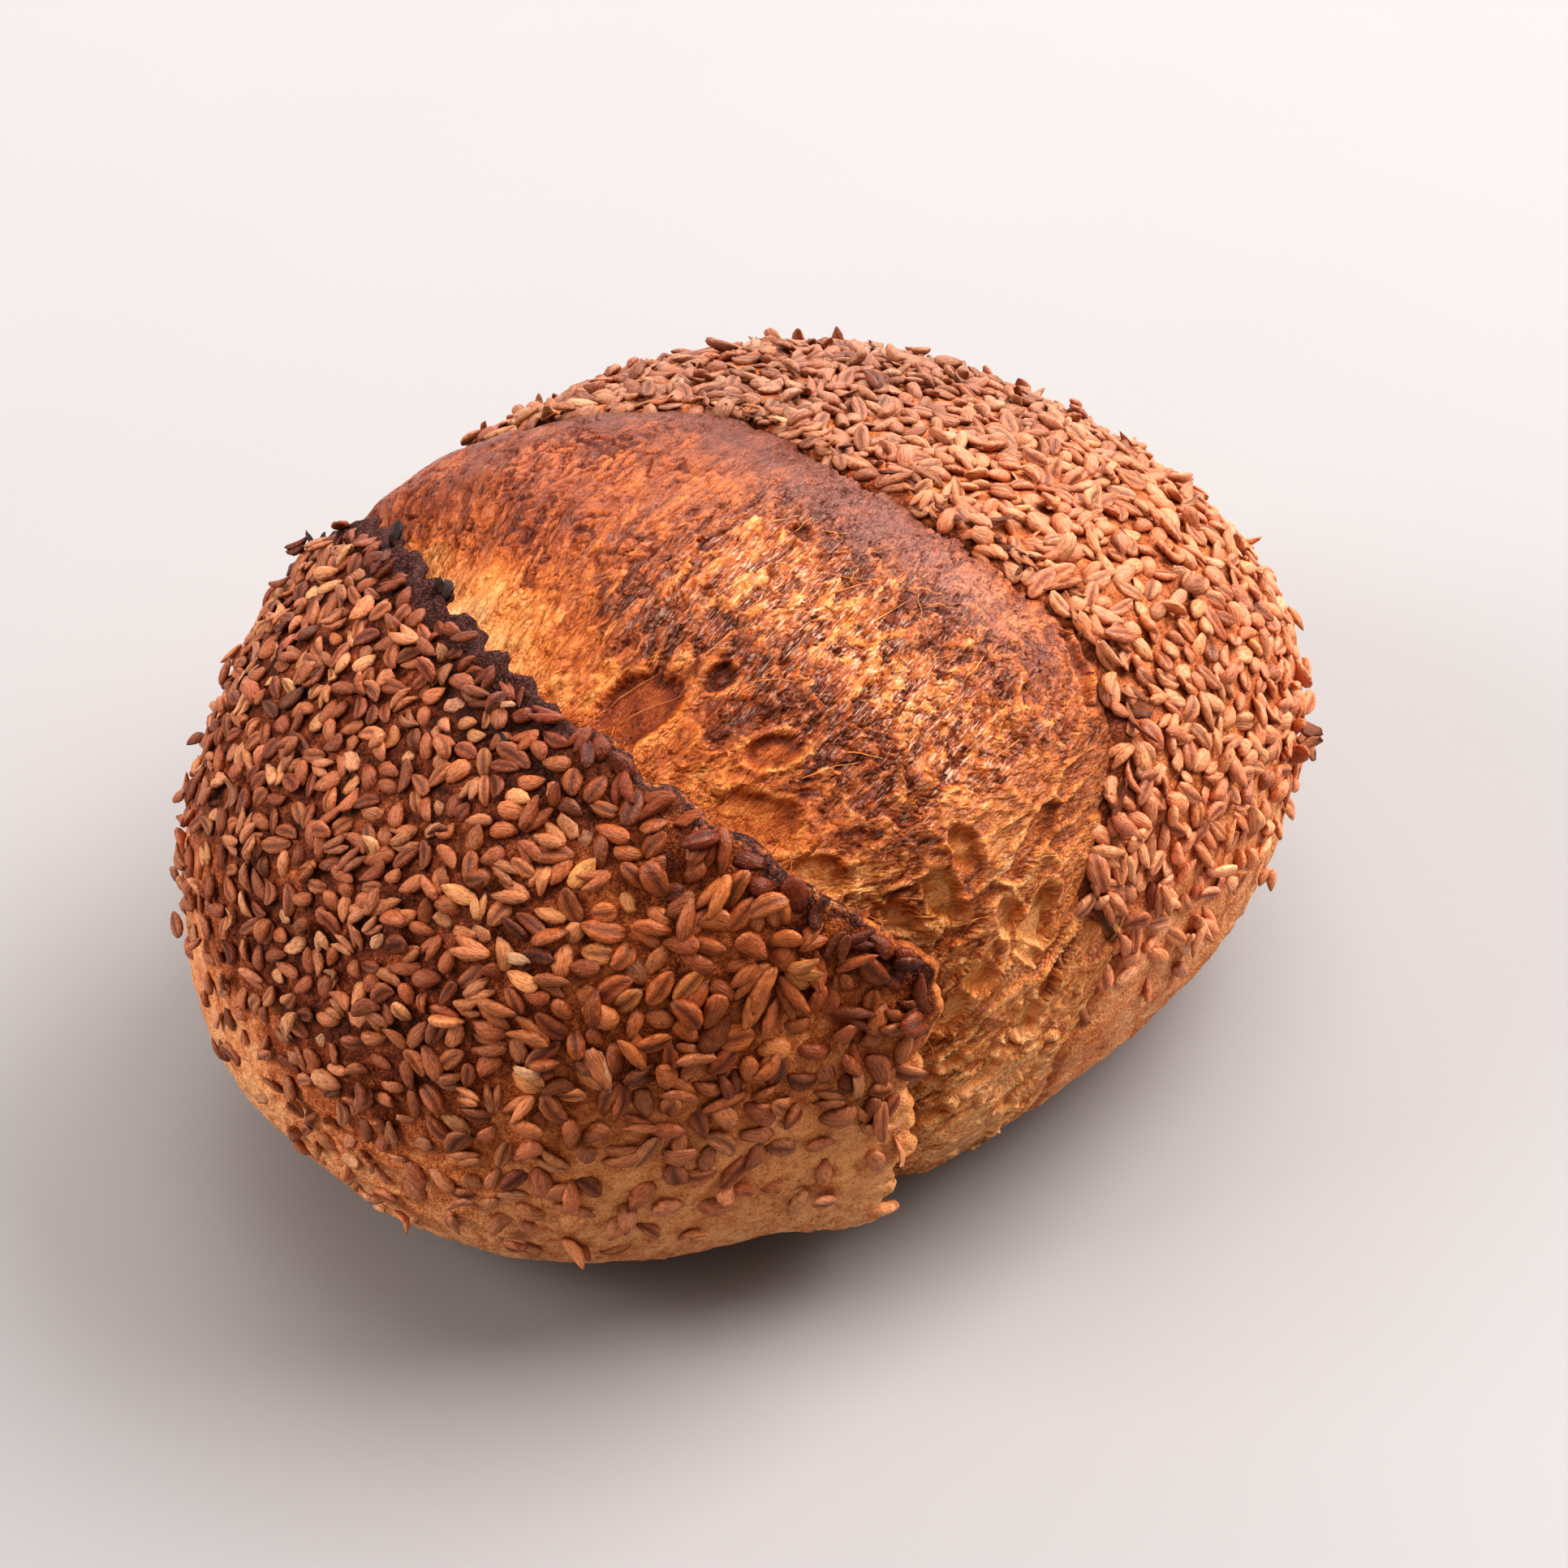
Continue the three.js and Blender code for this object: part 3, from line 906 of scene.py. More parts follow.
    def _stations(self, roll: Array) -> tuple[Array, Array, Array]:
        """Works out every row of the crust along each column.

        Each strip of rows has its sweeps where the crust is whole, those where it opened, and its heights.

        Args:
            roll: Rolls of the columns.

        Returns:
            The sweeps, the heights over the unslashed form, and the sweep of the ear's edge.
        """
        form = self.form
        ear, lift, half = self.ear_edge(roll)
        margin, stand = self.margin_edge(roll)
        per_mm = form.degrees_per_mm(ear, roll)
        valley = ear - form.ear_overhang * per_mm
        far_start = margin + self.margin_turn
        cap = ear * self._steps(self.cap_rows) ** self.cap_crowding
        lip, under = self._steps(self.lip_rows), self._steps(self.under_rows)
        floor, edge = self._steps(self.floor_rows), self._steps(self.edge_rows)
        far = self._steps(self.far_rows, 1)
        strips = (
            (cap, cap, lift * ease(ear - self.ear_rise, ear, cap)),
            (
                ear + 2.0 * lip,
                ear + half * np.sin(np.pi * lip) * per_mm,
                lift - half * (1.0 - np.cos(np.pi * lip)),
            ),
            (
                ear + 2.0 + 2.0 * under,
                blend(ear, valley, np.sin(np.pi / 2.0 * under)),
                blend(lift - 2.0 * half, -form.valley(roll) - 2.0, under**2),
            ),
            (
                blend(ear + 4.0, margin, floor),
                blend(valley, margin, floor),
                form.bloom_height(floor, roll) - self.floor_depth,
            ),
            (
                margin + self.margin_turn * edge,
                margin - (0.9 + stand) * np.sin(np.pi * edge) + self.margin_turn * edge**2,
                blend(-self.floor_depth, stand, np.sin(np.pi / 2.0 * edge)),
            ),
            (
                blend(far_start, 180.0, far),
                blend(far_start, 180.0, far),
                stand * (1.0 - ease(0.0, 0.3, far)),
            ),
        )
        whole, opened, height = (np.concatenate(rows) for rows in zip(*strips))
        share = form.openness(roll)
        return blend(whole, opened, share), height * share, ear

    def _relief(self, points: Array) -> Array:
        """Works out the crust's own lumps, flat where it met the hearth.

        Args:
            points: Points of the smooth crust.

        Returns:
            The height of the lumps.
        """
        level = points[..., 2]
        lumps = 0.45 * self.coarse.layers(points / 9.0, 2) + 0.3 * self.fine.layers(points / 2.6, 3, 0.6)
        blisters = self.coarse.crests(points / np.array([4.2, 4.2, 2.6]) + 31.0, 2)
        low = 1.0 - ease(26.0, 46.0, level)
        return (lumps + 0.45 * low * ease(0.55, 0.9, blisters)) * ease(0.5, 9.0, level)

    def _char_lumps(self, grid: CrustGrid) -> Array:
        """Works out the rough burnt lumps on the bare band behind the ear's edge.

        Args:
            grid: The smooth crust.

        Returns:
            The height of the lumps.
        """
        reach = self._from_ear(grid) / (self.band_width(grid.roll) + 1.0)
        band = (grid.rows < self.cap_rows + self.lip_rows) * (1.0 - ease(0.5, 1.2, reach))
        lumps = 0.6 * self.fine.layers(grid.points / 1.6 + 61.0, 2, 0.8)
        lumps += 0.5 * self.coarse.at(grid.points / 3.6 + 71.0)
        return band * self.form.openness(grid.roll) * lumps * (1.0 - 0.5 * ease(4.0, 20.0, grid.roll))

    def build(self, finish: Finish) -> Piece:
        """Builds the crust.

        Args:
            finish: The crust's material.

        Returns:
            The finished piece.
        """
        roll = self._rolls()
        sweep, height, ear = self._stations(roll)
        turn = np.broadcast_to(roll, sweep.shape)
        smooth = CrustGrid(sweep, turn, self.form.point(sweep, turn, height), ear)
        rough = self._relief(smooth.points) + self._char_lumps(smooth)
        grid = replace(smooth, points=self.form.point(sweep, turn, height + rough))

        rows = sweep.shape[0]
        sphere = {"segments": self.columns, "ring_count": rows + 1, "radius": 1.0}
        piece = add_primitive(bpy.ops.mesh.primitive_uv_sphere_add, "crust", **sphere)
        ball = corners(piece)
        ring = np.rint(np.arccos(np.clip(ball[:, 2], -1.0, 1.0)) / np.pi * (rows + 1)).astype(int)
        around = -np.arctan2(ball[:, 1], ball[:, 0]) / (2.0 * np.pi)
        column = np.rint(around * self.columns).astype(int) % self.columns
        row = np.clip(ring - 1, 0, rows - 1)
        self.points = grid.points[row, column]
        poles = self.form.point(np.array([0.0, 180.0]), np.zeros(2), np.zeros(2))
        self.points[ring == 0] = poles[0]
        self.points[ring == rows + 1] = poles[1]
        move_corners(piece, self.points)

        reach = self._from_ear(grid) + 1.6 * self.fine.at(grid.points / 3.0)
        amber = self._amber(grid)
        layers = {"bake_and_painted_shading": self._bake_and_painted_shading(grid, reach), "char": self._char(grid, reach), "amber": amber}
        for name, values in layers.items():
            write_layer(piece, name, values[row, column])
        self.amber = amber[row, column]
        self.scorch = self._scorch(grid, reach)[row, column]
        self.bare = self._bareness(grid)[row, column]
        hand_over(piece, finish)
        return piece

    def _from_ear(self, grid: CrustGrid) -> Array:
        """Distance in millimetres back from the ear's edge along the cap."""
        return (grid.ear - grid.sweep) / self.sweep_per_mm

    @staticmethod
    def seed_limit(points: Array) -> Array:
        """Height below which the slashed cap is bare, higher on its far side."""
        return 29.0 + 19.0 * ease(-20.0, 35.0, points[..., 1])

    def band_width(self, roll: Array) -> Array:
        """Works out the bare charred band behind the ear's edge.

        Args:
            roll: Rolls to read.

        Returns:
            The band's width in millimetres.
        """
        burnt_end = ease(-84.0, -70.0, roll) * (1.0 - ease(2.0, 12.0, roll))
        width = 0.8 + (1.1 * burnt_end + 0.8 * hump(roll, -18.0, 14.0))
        return width + 0.9 * hump(roll, 72.0, 8.0) + 2.0 * ease(*self.tail_span, roll)

    def _burnt(self, roll: Array) -> Array:
        """How far the ear is burnt along its edge."""
        fading = (1.0 - 0.35 * ease(8.0, 24.0, roll)) * (1.0 - ease(74.0, 86.0, roll))
        return ease(*self.char_span, roll) * fading

    def _on_lip(self, grid: CrustGrid) -> Array:
        """Tells the rows that turn over the ear's edge and run back under it."""
        return (grid.rows >= self.cap_rows) & (grid.rows < self.cap_rows + self.lip_rows + self.under_rows)

    def _char(self, grid: CrustGrid, reach: Array) -> Array:
        """Works out how charred each place is.

        Args:
            grid: The rough crust.
            reach: Distance back from the ear's edge, with some noise.

        Returns:
            The char, from 0 to 1.
        """
        width = self.band_width(grid.roll)
        on_band = 1.0 - ease(width - 0.8, width + 1.2, reach)
        char = np.where(grid.rows < self.cap_rows, on_band, self._on_lip(grid) * 1.0)
        char = self._burnt(grid.roll) * char * (1.0 - 0.6 * ease(54.0, 66.0, grid.roll))
        return char * self.form.openness(grid.roll)

    def _bake_and_painted_shading(self, grid: CrustGrid, reach: Array) -> Array:
        """Works out how baked each place is: the slashed cap most, the plain cap less, low crust least.

        Painted shade is mixed in. The seeded crust is darker, partly as more baked crust and partly as
        painted shade between the seeds, and a painted shadow line runs along the torn margin's edge.

        Args:
            grid: The rough crust.
            reach: Distance back from the ear's edge, with some noise.

        Returns:
            How baked each place looks with the painted shade, from pale at 0 to dark at 1.
        """
        on_cap = grid.rows < self.cap_rows
        burnt = self._burnt(grid.roll)
        bottom = self.seed_limit(grid.points) + 13.0 * ease(*self.near_side, grid.nearward)
        high = ease(bottom - 10.0, bottom + 24.0, grid.level + 4.0 * self.coarse.at(grid.points / 18.0))
        glaze = 0.17 * ease(*self.amber_side, grid.nearward)
        # Painted shade: the crust is darker high on the cap where the seeds lie, partly as more baked crust
        # and partly as shade between the seeds.
        near_bake_and_painted_shade = 0.12 + (0.68 - glaze) * high + 0.22 * burnt * (1.0 - ease(2.0, 12.0, reach)) * on_cap
        near_bake_and_painted_shade += 0.25 * hump(grid.roll, self.corner_roll, 8.0) * (1.0 - ease(3.0, 9.0, reach)) * on_cap
        torn_tail = ease(*self.tail_span, grid.roll) * (1.0 - ease(1.4, 3.6, reach)) * on_cap
        near_bake_and_painted_shade = blend(near_bake_and_painted_shade, 0.06, 0.8 * torn_tail)
        bake_and_painted_shading = blend(0.18 + 0.26 * high, near_bake_and_painted_shade, self._slashed(grid))
        bake_and_painted_shading = np.where(self._on_lip(grid), blend(0.16, bake_and_painted_shading + 0.1, burnt), bake_and_painted_shading)
        # Painted shadow: the rows at the torn margin's edge and just under it are darkened into a shadow
        # line.
        first_far = grid.sweep.shape[0] - self.far_rows
        on_edge = (grid.rows >= first_far - self.edge_rows - 2) & (grid.rows < first_far - 1)
        bake_and_painted_shading = np.where(on_edge, bake_and_painted_shading + 0.2 * self.form.openness(grid.roll), bake_and_painted_shading)
        return blend(bake_and_painted_shading, 0.34, 1.0 - ease(0.5, 5.0, grid.level))

    @staticmethod
    def _slashed(grid: CrustGrid) -> Array:
        """Tells the slashed cap at 1 from the plain cap at 0."""
        return 1.0 - ease(84.0, 96.0, grid.sweep)

    def _amber(self, grid: CrustGrid) -> Array:
        """Works out where the crust baked to a clear amber.

        Args:
            grid: The rough crust.

        Returns:
            The amber, from 0 to 1.
        """
        waver = 5.0 * self.coarse.at(grid.points / 20.0 + 3.0)
        amber = self._slashed(grid) * ease(*self.amber_side, grid.nearward + waver)
        return amber * ease(12.0, 34.0, grid.level)

    def _scorch(self, grid: CrustGrid, reach: Array) -> Array:
        """Works out where seeds are scorched by the burnt ear.

        Args:
            grid: The rough crust.
            reach: Distance back from the ear's edge, with some noise.

        Returns:
            The scorch, from 0 to 1.
        """
        corner = hump(grid.roll, self.corner_roll, 9.0)
        seared = ease(*self.char_span, grid.roll) * (1.0 - ease(76.0, 86.0, grid.roll))
        scorch = seared * (1.0 - ease(2.0, 5.2 + 4.0 * corner, reach)) * (1.0 + 0.6 * corner)
        return np.clip(scorch, 0.0, 1.0) * (grid.rows < self.cap_rows) * self.form.openness(grid.roll)

    def _bareness(self, grid: CrustGrid) -> Array:
        """Works out how bare of seeds each place is.

        Args:
            grid: The rough crust.

        Returns:
            The bareness, from 0 under full cover to 1.
        """
        first_far = grid.sweep.shape[0] - self.far_rows
        margin, _ = self.margin_edge(grid.roll)
        width = self.band_width(grid.roll)
        on_near = (grid.rows < self.cap_rows) * ease(0.4 * width, 1.1 * width, self._from_ear(grid))
        on_far = (grid.rows >= first_far - 3) & (grid.sweep > margin - 0.6)
        level = grid.level + 6.0 * self.coarse.at(grid.points / 14.0 + 5.0)
        bottom = self.seed_limit(grid.points) + 6.0 * ease(*self.near_side, grid.nearward)
        near_cover = ease(bottom - 14.0, bottom + 32.0, level)
        far_cover = ease(30.0, 56.0, level)
        return 1.0 - near_cover * on_near - far_cover * on_far


@dataclass(frozen=True)
class Hollow:
    """One torn hollow: its middle, its half sizes in millimetres, its lean in degrees and its depth."""

    share: float
    roll: float
    length: float
    width: float
    lean: float
    depth: float


HOLLOWS = (
    Hollow(0.13, 20.0, 8.0, 6.0, -10.0, 2.8),
    Hollow(0.09, 43.0, 5.0, 6.0, 0.0, 1.4),
    Hollow(0.08, 54.0, 4.0, 4.0, 0.0, 1.4),
    Hollow(0.22, 37.0, 4.2, 2.6, 25.0, 1.6),
    Hollow(0.26, 25.0, 2.6, 2.0, 0.0, 1.3),
    Hollow(0.30, 63.5, 2.6, 4.6, 0.0, 2.4),
    Hollow(0.40, 59.0, 2.2, 3.2, 0.0, 1.8),
    Hollow(0.69, 72.6, 3.2, 4.6, -20.0, 2.2),
    Hollow(0.15, 64.0, 2.6, 3.0, 20.0, 1.9),
    Hollow(0.49, 69.5, 2.0, 3.0, -35.0, 1.9),
    Hollow(0.57, 85.1, 2.2, 3.6, -30.0, 2.0),
    Hollow(0.36, 75.5, 2.4, 2.4, 10.0, 1.4),
    Hollow(0.26, 80.0, 2.0, 3.0, 20.0, 1.4),
    Hollow(0.62, 76.0, 1.6, 2.4, -30.0, 1.3),
    Hollow(0.42, 91.0, 4.6, 1.7, -38.0, 1.6),
    Hollow(0.22, 96.0, 4.0, 1.5, -34.0, 1.3),
    Hollow(0.66, 94.0, 4.4, 1.4, -40.0, 1.3),
    Hollow(0.30, 86.0, 2.6, 1.4, -42.0, 1.2),
    Hollow(0.93, 49.9, 1.8, 5.6, 10.0, 2.4),
    Hollow(0.985, 6.1, 2.0, 4.6, 0.0, 2.4),
    Hollow(0.65, 14.1, 1.6, 1.8, 0.0, 1.0),
)


@dataclass(frozen=True)
class BloomGrid:
    """Every place of the bloom as rows by columns.

    The share runs from the valley at 0 to the margin at 1. Along, around and span are millimetres: from
    the valley, round the loaf, and the whole width of the bloom.
    """

    share: Array
    roll: Array
    along: Array
    around: Array
    span: Array


@dataclass(frozen=True)
class BloomZones:
    """How far each place belongs to each part of the bloom, from 0 to 1.

    The dome is the closed far end, the web is the open crumb on the near side, and low is its foot. Torn
    flakes lie between the two, fibres along the valley, and a whole skin with a dark ridge by the margin.
    The rest are strips and spots of their own colour, a glossier spot, and a spot of painted sheen.
    """

    web: Array
    low: Array
    dome: Array
    torn: Array
    fibrous: Array
    skin: Array
    open_crumb: Array
    band: Array
    golden: Array
    plum: Array
    ridge: Array
    sheen: Array
    gloss: Array

    @classmethod
    def over(cls, grid: BloomGrid) -> BloomZones:
        """Works out the parts of the bloom.

        Args:
            grid: The places to read.

        Returns:
            The parts at each place.
        """
        share, roll = grid.share, grid.roll
        web = ease(48.0, 60.0, roll)
        low = ease(80.0, 94.0, roll)
        dome = 1.0 - ease(-12.0, 16.0, roll)
        torn = (1.0 - web) * (1.0 - dome) * ease(0.12, 0.3, share) * (1.0 - 0.6 * ease(0.72, 0.9, share))
        ridge = ease(0.6, 0.85, share) * ease(-85.0, -50.0, roll) * (1.0 - ease(46.0, 60.0, roll))
        return cls(
            web=web,
            low=low,
            dome=dome,
            torn=torn,
            fibrous=(1.0 - ease(0.2, 0.45, share)) * (1.0 - 0.7 * dome),
            skin=np.maximum(dome * ease(0.03, 0.2, share), ease(0.74, 0.86, share) * (1.0 - web)),
            open_crumb=web * (1.0 - ease(0.75, 0.95, share)) * (1.0 - 0.4 * low),
            band=hump(share, 0.32, 0.1) * ease(0.0, 14.0, roll) * (1.0 - ease(38.0, 50.0, roll)),
            golden=hump(share, 0.5, 0.1) * ease(4.0, 16.0, roll) * (1.0 - 0.5 * ease(48.0, 58.0, roll)),
            plum=hump(share, 0.66, 0.06) * hump(roll, 20.0, 13.0),
            ridge=ridge * (1.0 - 0.6 * ease(24.0, 36.0, roll)),
            sheen=hump(share, 0.85, 0.09) * hump(roll, 35.0, 9.0),
            gloss=hump(share, 0.82, 0.12) * hump(roll, 38.0, 14.0),
        )


@dataclass(frozen=True)
class BloomGrain:
    """Torn textures of the bloom, read along its tear."""

    shift: Array
    strands: Array
    threads: Array
    swell: Array
    cracks: Array
    nicks: Array
    crumbs: Array
    flake: Array
    flake_lean: Array
    scale: Array
    scale_lean: Array
    film: Array
    sunk: Array


@dataclass
class Bloom:
    """The torn crumb between the ear and the plain cap, as one closed wedge tucked under both edges."""

    form: LoafForm
    crust: Crust
    front_rows: int = 150
    back_rows: int = 3
    columns: int = 620
    first_roll: float = -96.0
    last_roll: float = 129.0
    first_share: float = -0.03
    last_share: float = 1.02
    slant: float = -0.24
    side_slant: float = -0.5
    mean_radius: float = 60.0
    mm_per_sweep: float = 1.1
    back_depth: float = 3.0
    warp: Grain = field(default_factory=lambda: Grain(21))
    strand: Grain = field(default_factory=lambda: Grain(22))
    crumple: Grain = field(default_factory=lambda: Grain(23))
    cell: Grain = field(default_factory=lambda: Grain(24))
    skin: Array = field(default_factory=unset)

    def build(self, finish: Finish) -> Piece:
        """Builds the bloom.

        Args:
            finish: The bloom's material.

        Returns:
            The finished piece.
        """
        form = self.form
        roll = np.linspace(self.first_roll, self.last_roll, self.columns + 1)[None, :]
        share = np.linspace(self.first_share, self.last_share, self.front_rows)[:, None]
        ear, _, _ = self.crust.ear_edge(roll)
        margin, _ = self.crust.margin_edge(roll)
        start = ear - form.ear_overhang * form.degrees_per_mm(ear, roll)
        opened = form.openness(roll)
        sweep = blend(start, margin, share)
        turn = np.broadcast_to(roll, sweep.shape)
        along = np.radians(sweep - start) * form.radius(sweep, turn)
        around = np.radians(turn) * self.mean_radius
        grid = BloomGrid(share + 0.0 * roll, turn, along, around, (margin - start) * self.mm_per_sweep)
        relief, layers = self._dress(grid)
        tuck = 0.6 * ease(0.95, 1.0, share) + 4.0 * (1.0 - opened)
        self.skin = form.point(sweep, turn, (form.bloom_height(share, roll) + relief) * opened - tuck)
        steps = np.linspace(1.0, 0.0, self.back_rows)[:, None]
        back_sweep = blend(start, margin, steps)
        back_height = form.bloom_height(steps, roll) * opened - self.back_depth - tuck[-1:] * 0.5
        back = form.point(back_sweep, np.broadcast_to(roll, back_sweep.shape), back_height)
        loop = np.concatenate([self.skin, back, self.skin[:1]])
        for end in (0, -1):
            loop[:, end] = loop[:, end].mean(0)

        rows = loop.shape[0] - 1
        cuts = {"x_subdivisions": self.columns, "y_subdivisions": rows, "size": 2.0}
        piece = add_primitive(bpy.ops.mesh.primitive_grid_add, "bloom", **cuts)
        sheet = corners(piece)
        column = np.rint((sheet[:, 0] + 1.0) / 2.0 * self.columns).astype(int)
        row = np.rint((sheet[:, 1] + 1.0) / 2.0 * rows).astype(int)
        move_corners(piece, loop[row, column])
        inside = np.minimum(row, self.front_rows - 1)
        for name, values in layers.items():
            write_layer(piece, name, values[inside, column])
        weld(piece)
        hand_over(piece, finish)
        return piece

    def _dress(self, grid: BloomGrid) -> tuple[Array, dict[str, Array]]:
        """Works out the bloom's torn relief and the layers for its finish.

        Args:
            grid: The places of the bloom.

        Returns:
            The relief in millimetres, and the layers.
        """
        slant = self.slant + self.side_slant * ease(52.0, 76.0, grid.roll)
        across = grid.around - slant * grid.along
        zones = BloomZones.over(grid)
        grain = self._grain(grid.along, across)
        relief, inside = self._tear(self._relief(zones, grain), grid, zones, grain)
        log.info("bloom relief from %.1f to %.1f mm", relief.min(), relief.max())
        plain = 1.0 - 0.8 * zones.ridge
        fleck = 0.28 * zones.band + 0.4 * zones.plum + 0.12 * zones.ridge + 0.1 * zones.torn
        # Where the finish paints pale glints.
        glint_mask = 0.45 * zones.golden + 0.36 * zones.torn + 0.36 * zones.web
        frayed = zones.torn + 0.4 * zones.web + 0.35 * zones.skin * plain + 0.5 * zones.fibrous
        layers = {
            "bake_and_painted_shading": self._bake_and_painted_shading(grid, zones, grain, relief, inside),
            "gloss": np.clip(zones.ridge + 0.9 * zones.gloss, 0.0, 1.0),
            "fleck": np.clip(fleck, 0.0, 1.0) * (1.0 - 0.8 * inside),
            "glint_mask": np.clip(glint_mask, 0.0, 1.0) * (1.0 - 0.7 * inside) * plain,
            "torn": np.clip(frayed, 0.0, 1.0) * (1.0 - 0.7 * inside),
            "tear": np.stack([across, grid.along + slant * grid.around, np.zeros_like(across)], -1),
            # Mask for the plum tint: on the ridge partly painted sheen, and on the sheen spot painted sheen.
            "plum": np.clip(0.4 * zones.ridge * (1.0 - 0.6 * zones.dome) + 0.4 * zones.sheen, 0.0, 1.0),
        }
        return relief, layers

    def _grain(self, along: Array, across: Array) -> BloomGrain:
        """Reads the torn textures.

        Args:
            along: Distance from the valley in millimetres.
            across: Distance across the tear in millimetres.

        Returns:
            The textures at each place.
        """
        flat = np.stack([along, across, np.zeros_like(along)], -1)
        shift = np.stack([self.warp.layers(flat / 9.0 + k, 3) for k in (0.0, 40.0, 80.0)], -1)
        bent = flat + 3.0 * shift
        cracks = ease(0.8, 0.96, self.crumple.crests(bent / np.array([9.0, 3.2, 1.0]) + 19.0))
        nicks = ease(0.82, 0.97, self.crumple.crests(bent / np.array([3.6, 1.4, 1.0]) + 43.0))
        _, flake, flake_lean = self.cell.cells(bent[..., 1] / 2.7, bent[..., 0] / 6.5)
        _, scale, scale_lean = self.cell.cells(bent[..., 1] / 1.25 + 40.0, bent[..., 0] / 2.8)
        stirred = flat + 2.4 * shift
        wall, own, _ = self.cell.cells(stirred[..., 1] / 5.6, stirred[..., 0] / 11.0)
        film = ease(0.03, 0.25, wall)
        return BloomGrain(
            shift=shift,
            strands=self.strand.crests(bent / np.array([17.0, 1.5, 1.0]), 2),
            threads=self.strand.crests(bent / np.array([6.0, 0.8, 1.0]) + 51.0),
            swell=self.crumple.layers(bent / np.array([11.0, 6.0, 1.0]) + 7.0, 2),
            cracks=cracks * ease(-0.15, 0.3, self.warp.at(flat / 13.0 + 5.0)),
            nicks=nicks * ease(-0.1, 0.3, self.warp.at(flat / 7.0 + 9.0)),
            crumbs=self.crumple.crests(flat / 1.1 + 29.0),
            flake=flake,
            flake_lean=flake_lean,
            scale=scale,
            scale_lean=scale_lean,
            film=film,
            sunk=film * np.maximum(own - 0.3, 0.0) / 0.7,
        )

    @staticmethod
    def _relief(zones: BloomZones, grain: BloomGrain) -> Array:
        """Works out the relief before the hollows are torn.

        Args:
            zones: The parts of the bloom.
            grain: Its textures.

        Returns:
            The relief in millimetres.
        """
        relief = 0.55 * grain.swell + zones.fibrous * (0.6 * grain.strands + 0.25 * grain.threads - 0.55)
        flakes = 1.1 * (grain.flake - 0.5) + 0.5 * grain.flake_lean
        flakes += 0.45 * (grain.scale - 0.5) + 0.25 * grain.scale_lean + 0.15 * grain.crumbs
        relief += zones.torn * flakes
        relief -= zones.skin * (0.55 * grain.cracks + 0.3 * grain.nicks - 0.12 * grain.strands)
        relief += zones.open_crumb * (0.5 * (1.0 - grain.film) - 1.6 * grain.sunk)
        return relief + zones.web * (0.45 * grain.strands + 0.25 * grain.threads - 0.4)

    def _tear(
        self, relief: Array, grid: BloomGrid, zones: BloomZones, grain: BloomGrain
    ) -> tuple[Array, Array]:
        """Tears the hollows into the relief.

        Args:
            relief: The relief without hollows.
            grid: The places of the bloom.
            zones: Its parts.
            grain: Its textures.

        Returns:
            The torn relief, and how far each place lies inside a hollow.
        """
        inside = np.zeros_like(relief)
        for hollow in HOLLOWS:
            a = (grid.share - hollow.share) * grid.span
            b = np.radians(grid.roll - hollow.roll) * self.mean_radius
            turn = np.radians(hollow.lean)
            u = (a * np.cos(turn) + b * np.sin(turn)) / hollow.length
            v = (-a * np.sin(turn) + b * np.cos(turn)) / hollow.width
            edge = np.hypot(u, v) + 0.16 * grain.shift[..., 2] + 0.1 * (grain.crumbs - 0.6)
            cut = 1.0 - ease(0.7, 1.0, edge)
            sunk = (0.6 + 0.3 * zones.web) * hollow.depth * cut
            relief = blend(relief, 0.35 * relief, cut) - sunk + 0.25 * hump(edge, 1.1, 0.12)
            inside = np.maximum(inside, cut)
        return relief, inside

    @staticmethod
    def _bake_and_painted_shading(
        grid: BloomGrid, zones: BloomZones, grain: BloomGrain, relief: Array, inside: Array
    ) -> Array:
        """Works out how browned each place is, with painted light and shade: a painted glow along the
        valley, painted light in the valley at the dome end, a paler painted sheen, and painted shade in
        cracks, deep cells and low places of the relief.

        Args:
            grid: The places of the bloom.
            zones: Its parts.
            grain: Its textures.
            relief: Its torn relief.
            inside: How far each place lies inside a hollow.

        Returns:
            How browned each place looks with the painted light and shade, from pale at 0 to dark at 1.
        """
        share, roll = grid.share, grid.roll
        off_dome, off_web = 1.0 - zones.dome, 1.0 - zones.web
        # Painted glow: paler orange along the valley, partly the crumb's colour and partly light painted in
        # as a glow through the crumb.
        bake_and_painted_shading = 0.5 - 0.24 * (1.0 - ease(0.05, 0.22, share)) * off_dome
        bake_and_painted_shading -= 0.02 * zones.web + 0.2 * zones.low
        bake_and_painted_shading += 0.16 * zones.torn + 0.06 * zones.band + 0.04 * zones.plum
        # Painted sheen: the sheen spot is painted paler.
        bake_and_painted_shading += 0.24 * zones.ridge - 0.14 * zones.golden - 0.12 * zones.sheen
        bake_and_painted_shading += inside * (0.24 * (1.0 - ease(28.0, 38.0, roll)) - 0.04 - 0.3 * zones.web)
        # Painted light: at the dome end the valley behind the ear is painted much paler, as if lit.
        bake_and_painted_shading += zones.dome * (0.11 - 0.6 * (1.0 - ease(0.05, 0.26, share)))
        bake_and_painted_shading += 0.15 * (1.0 - ease(-30.0, -8.0, roll)) - 0.12 * ease(60.0, 74.0, roll)
        bake_and_painted_shading += 0.08 * (1.0 - ease(0.1, 0.24, share)) * off_dome * off_web
        bake_and_painted_shading += 0.16 * ease(0.76, 0.95, share) * (1.0 - ease(8.0, 28.0, roll))
        bake_and_painted_shading -= 0.45 * (1.0 - ease(-92.0, -66.0, roll))
        flake_tone, scale_tone = ((7.3 * own) % 1.0 - 0.5 for own in (grain.flake, grain.scale))
        bake_and_painted_shading += zones.torn * (0.34 * flake_tone + 0.2 * scale_tone)
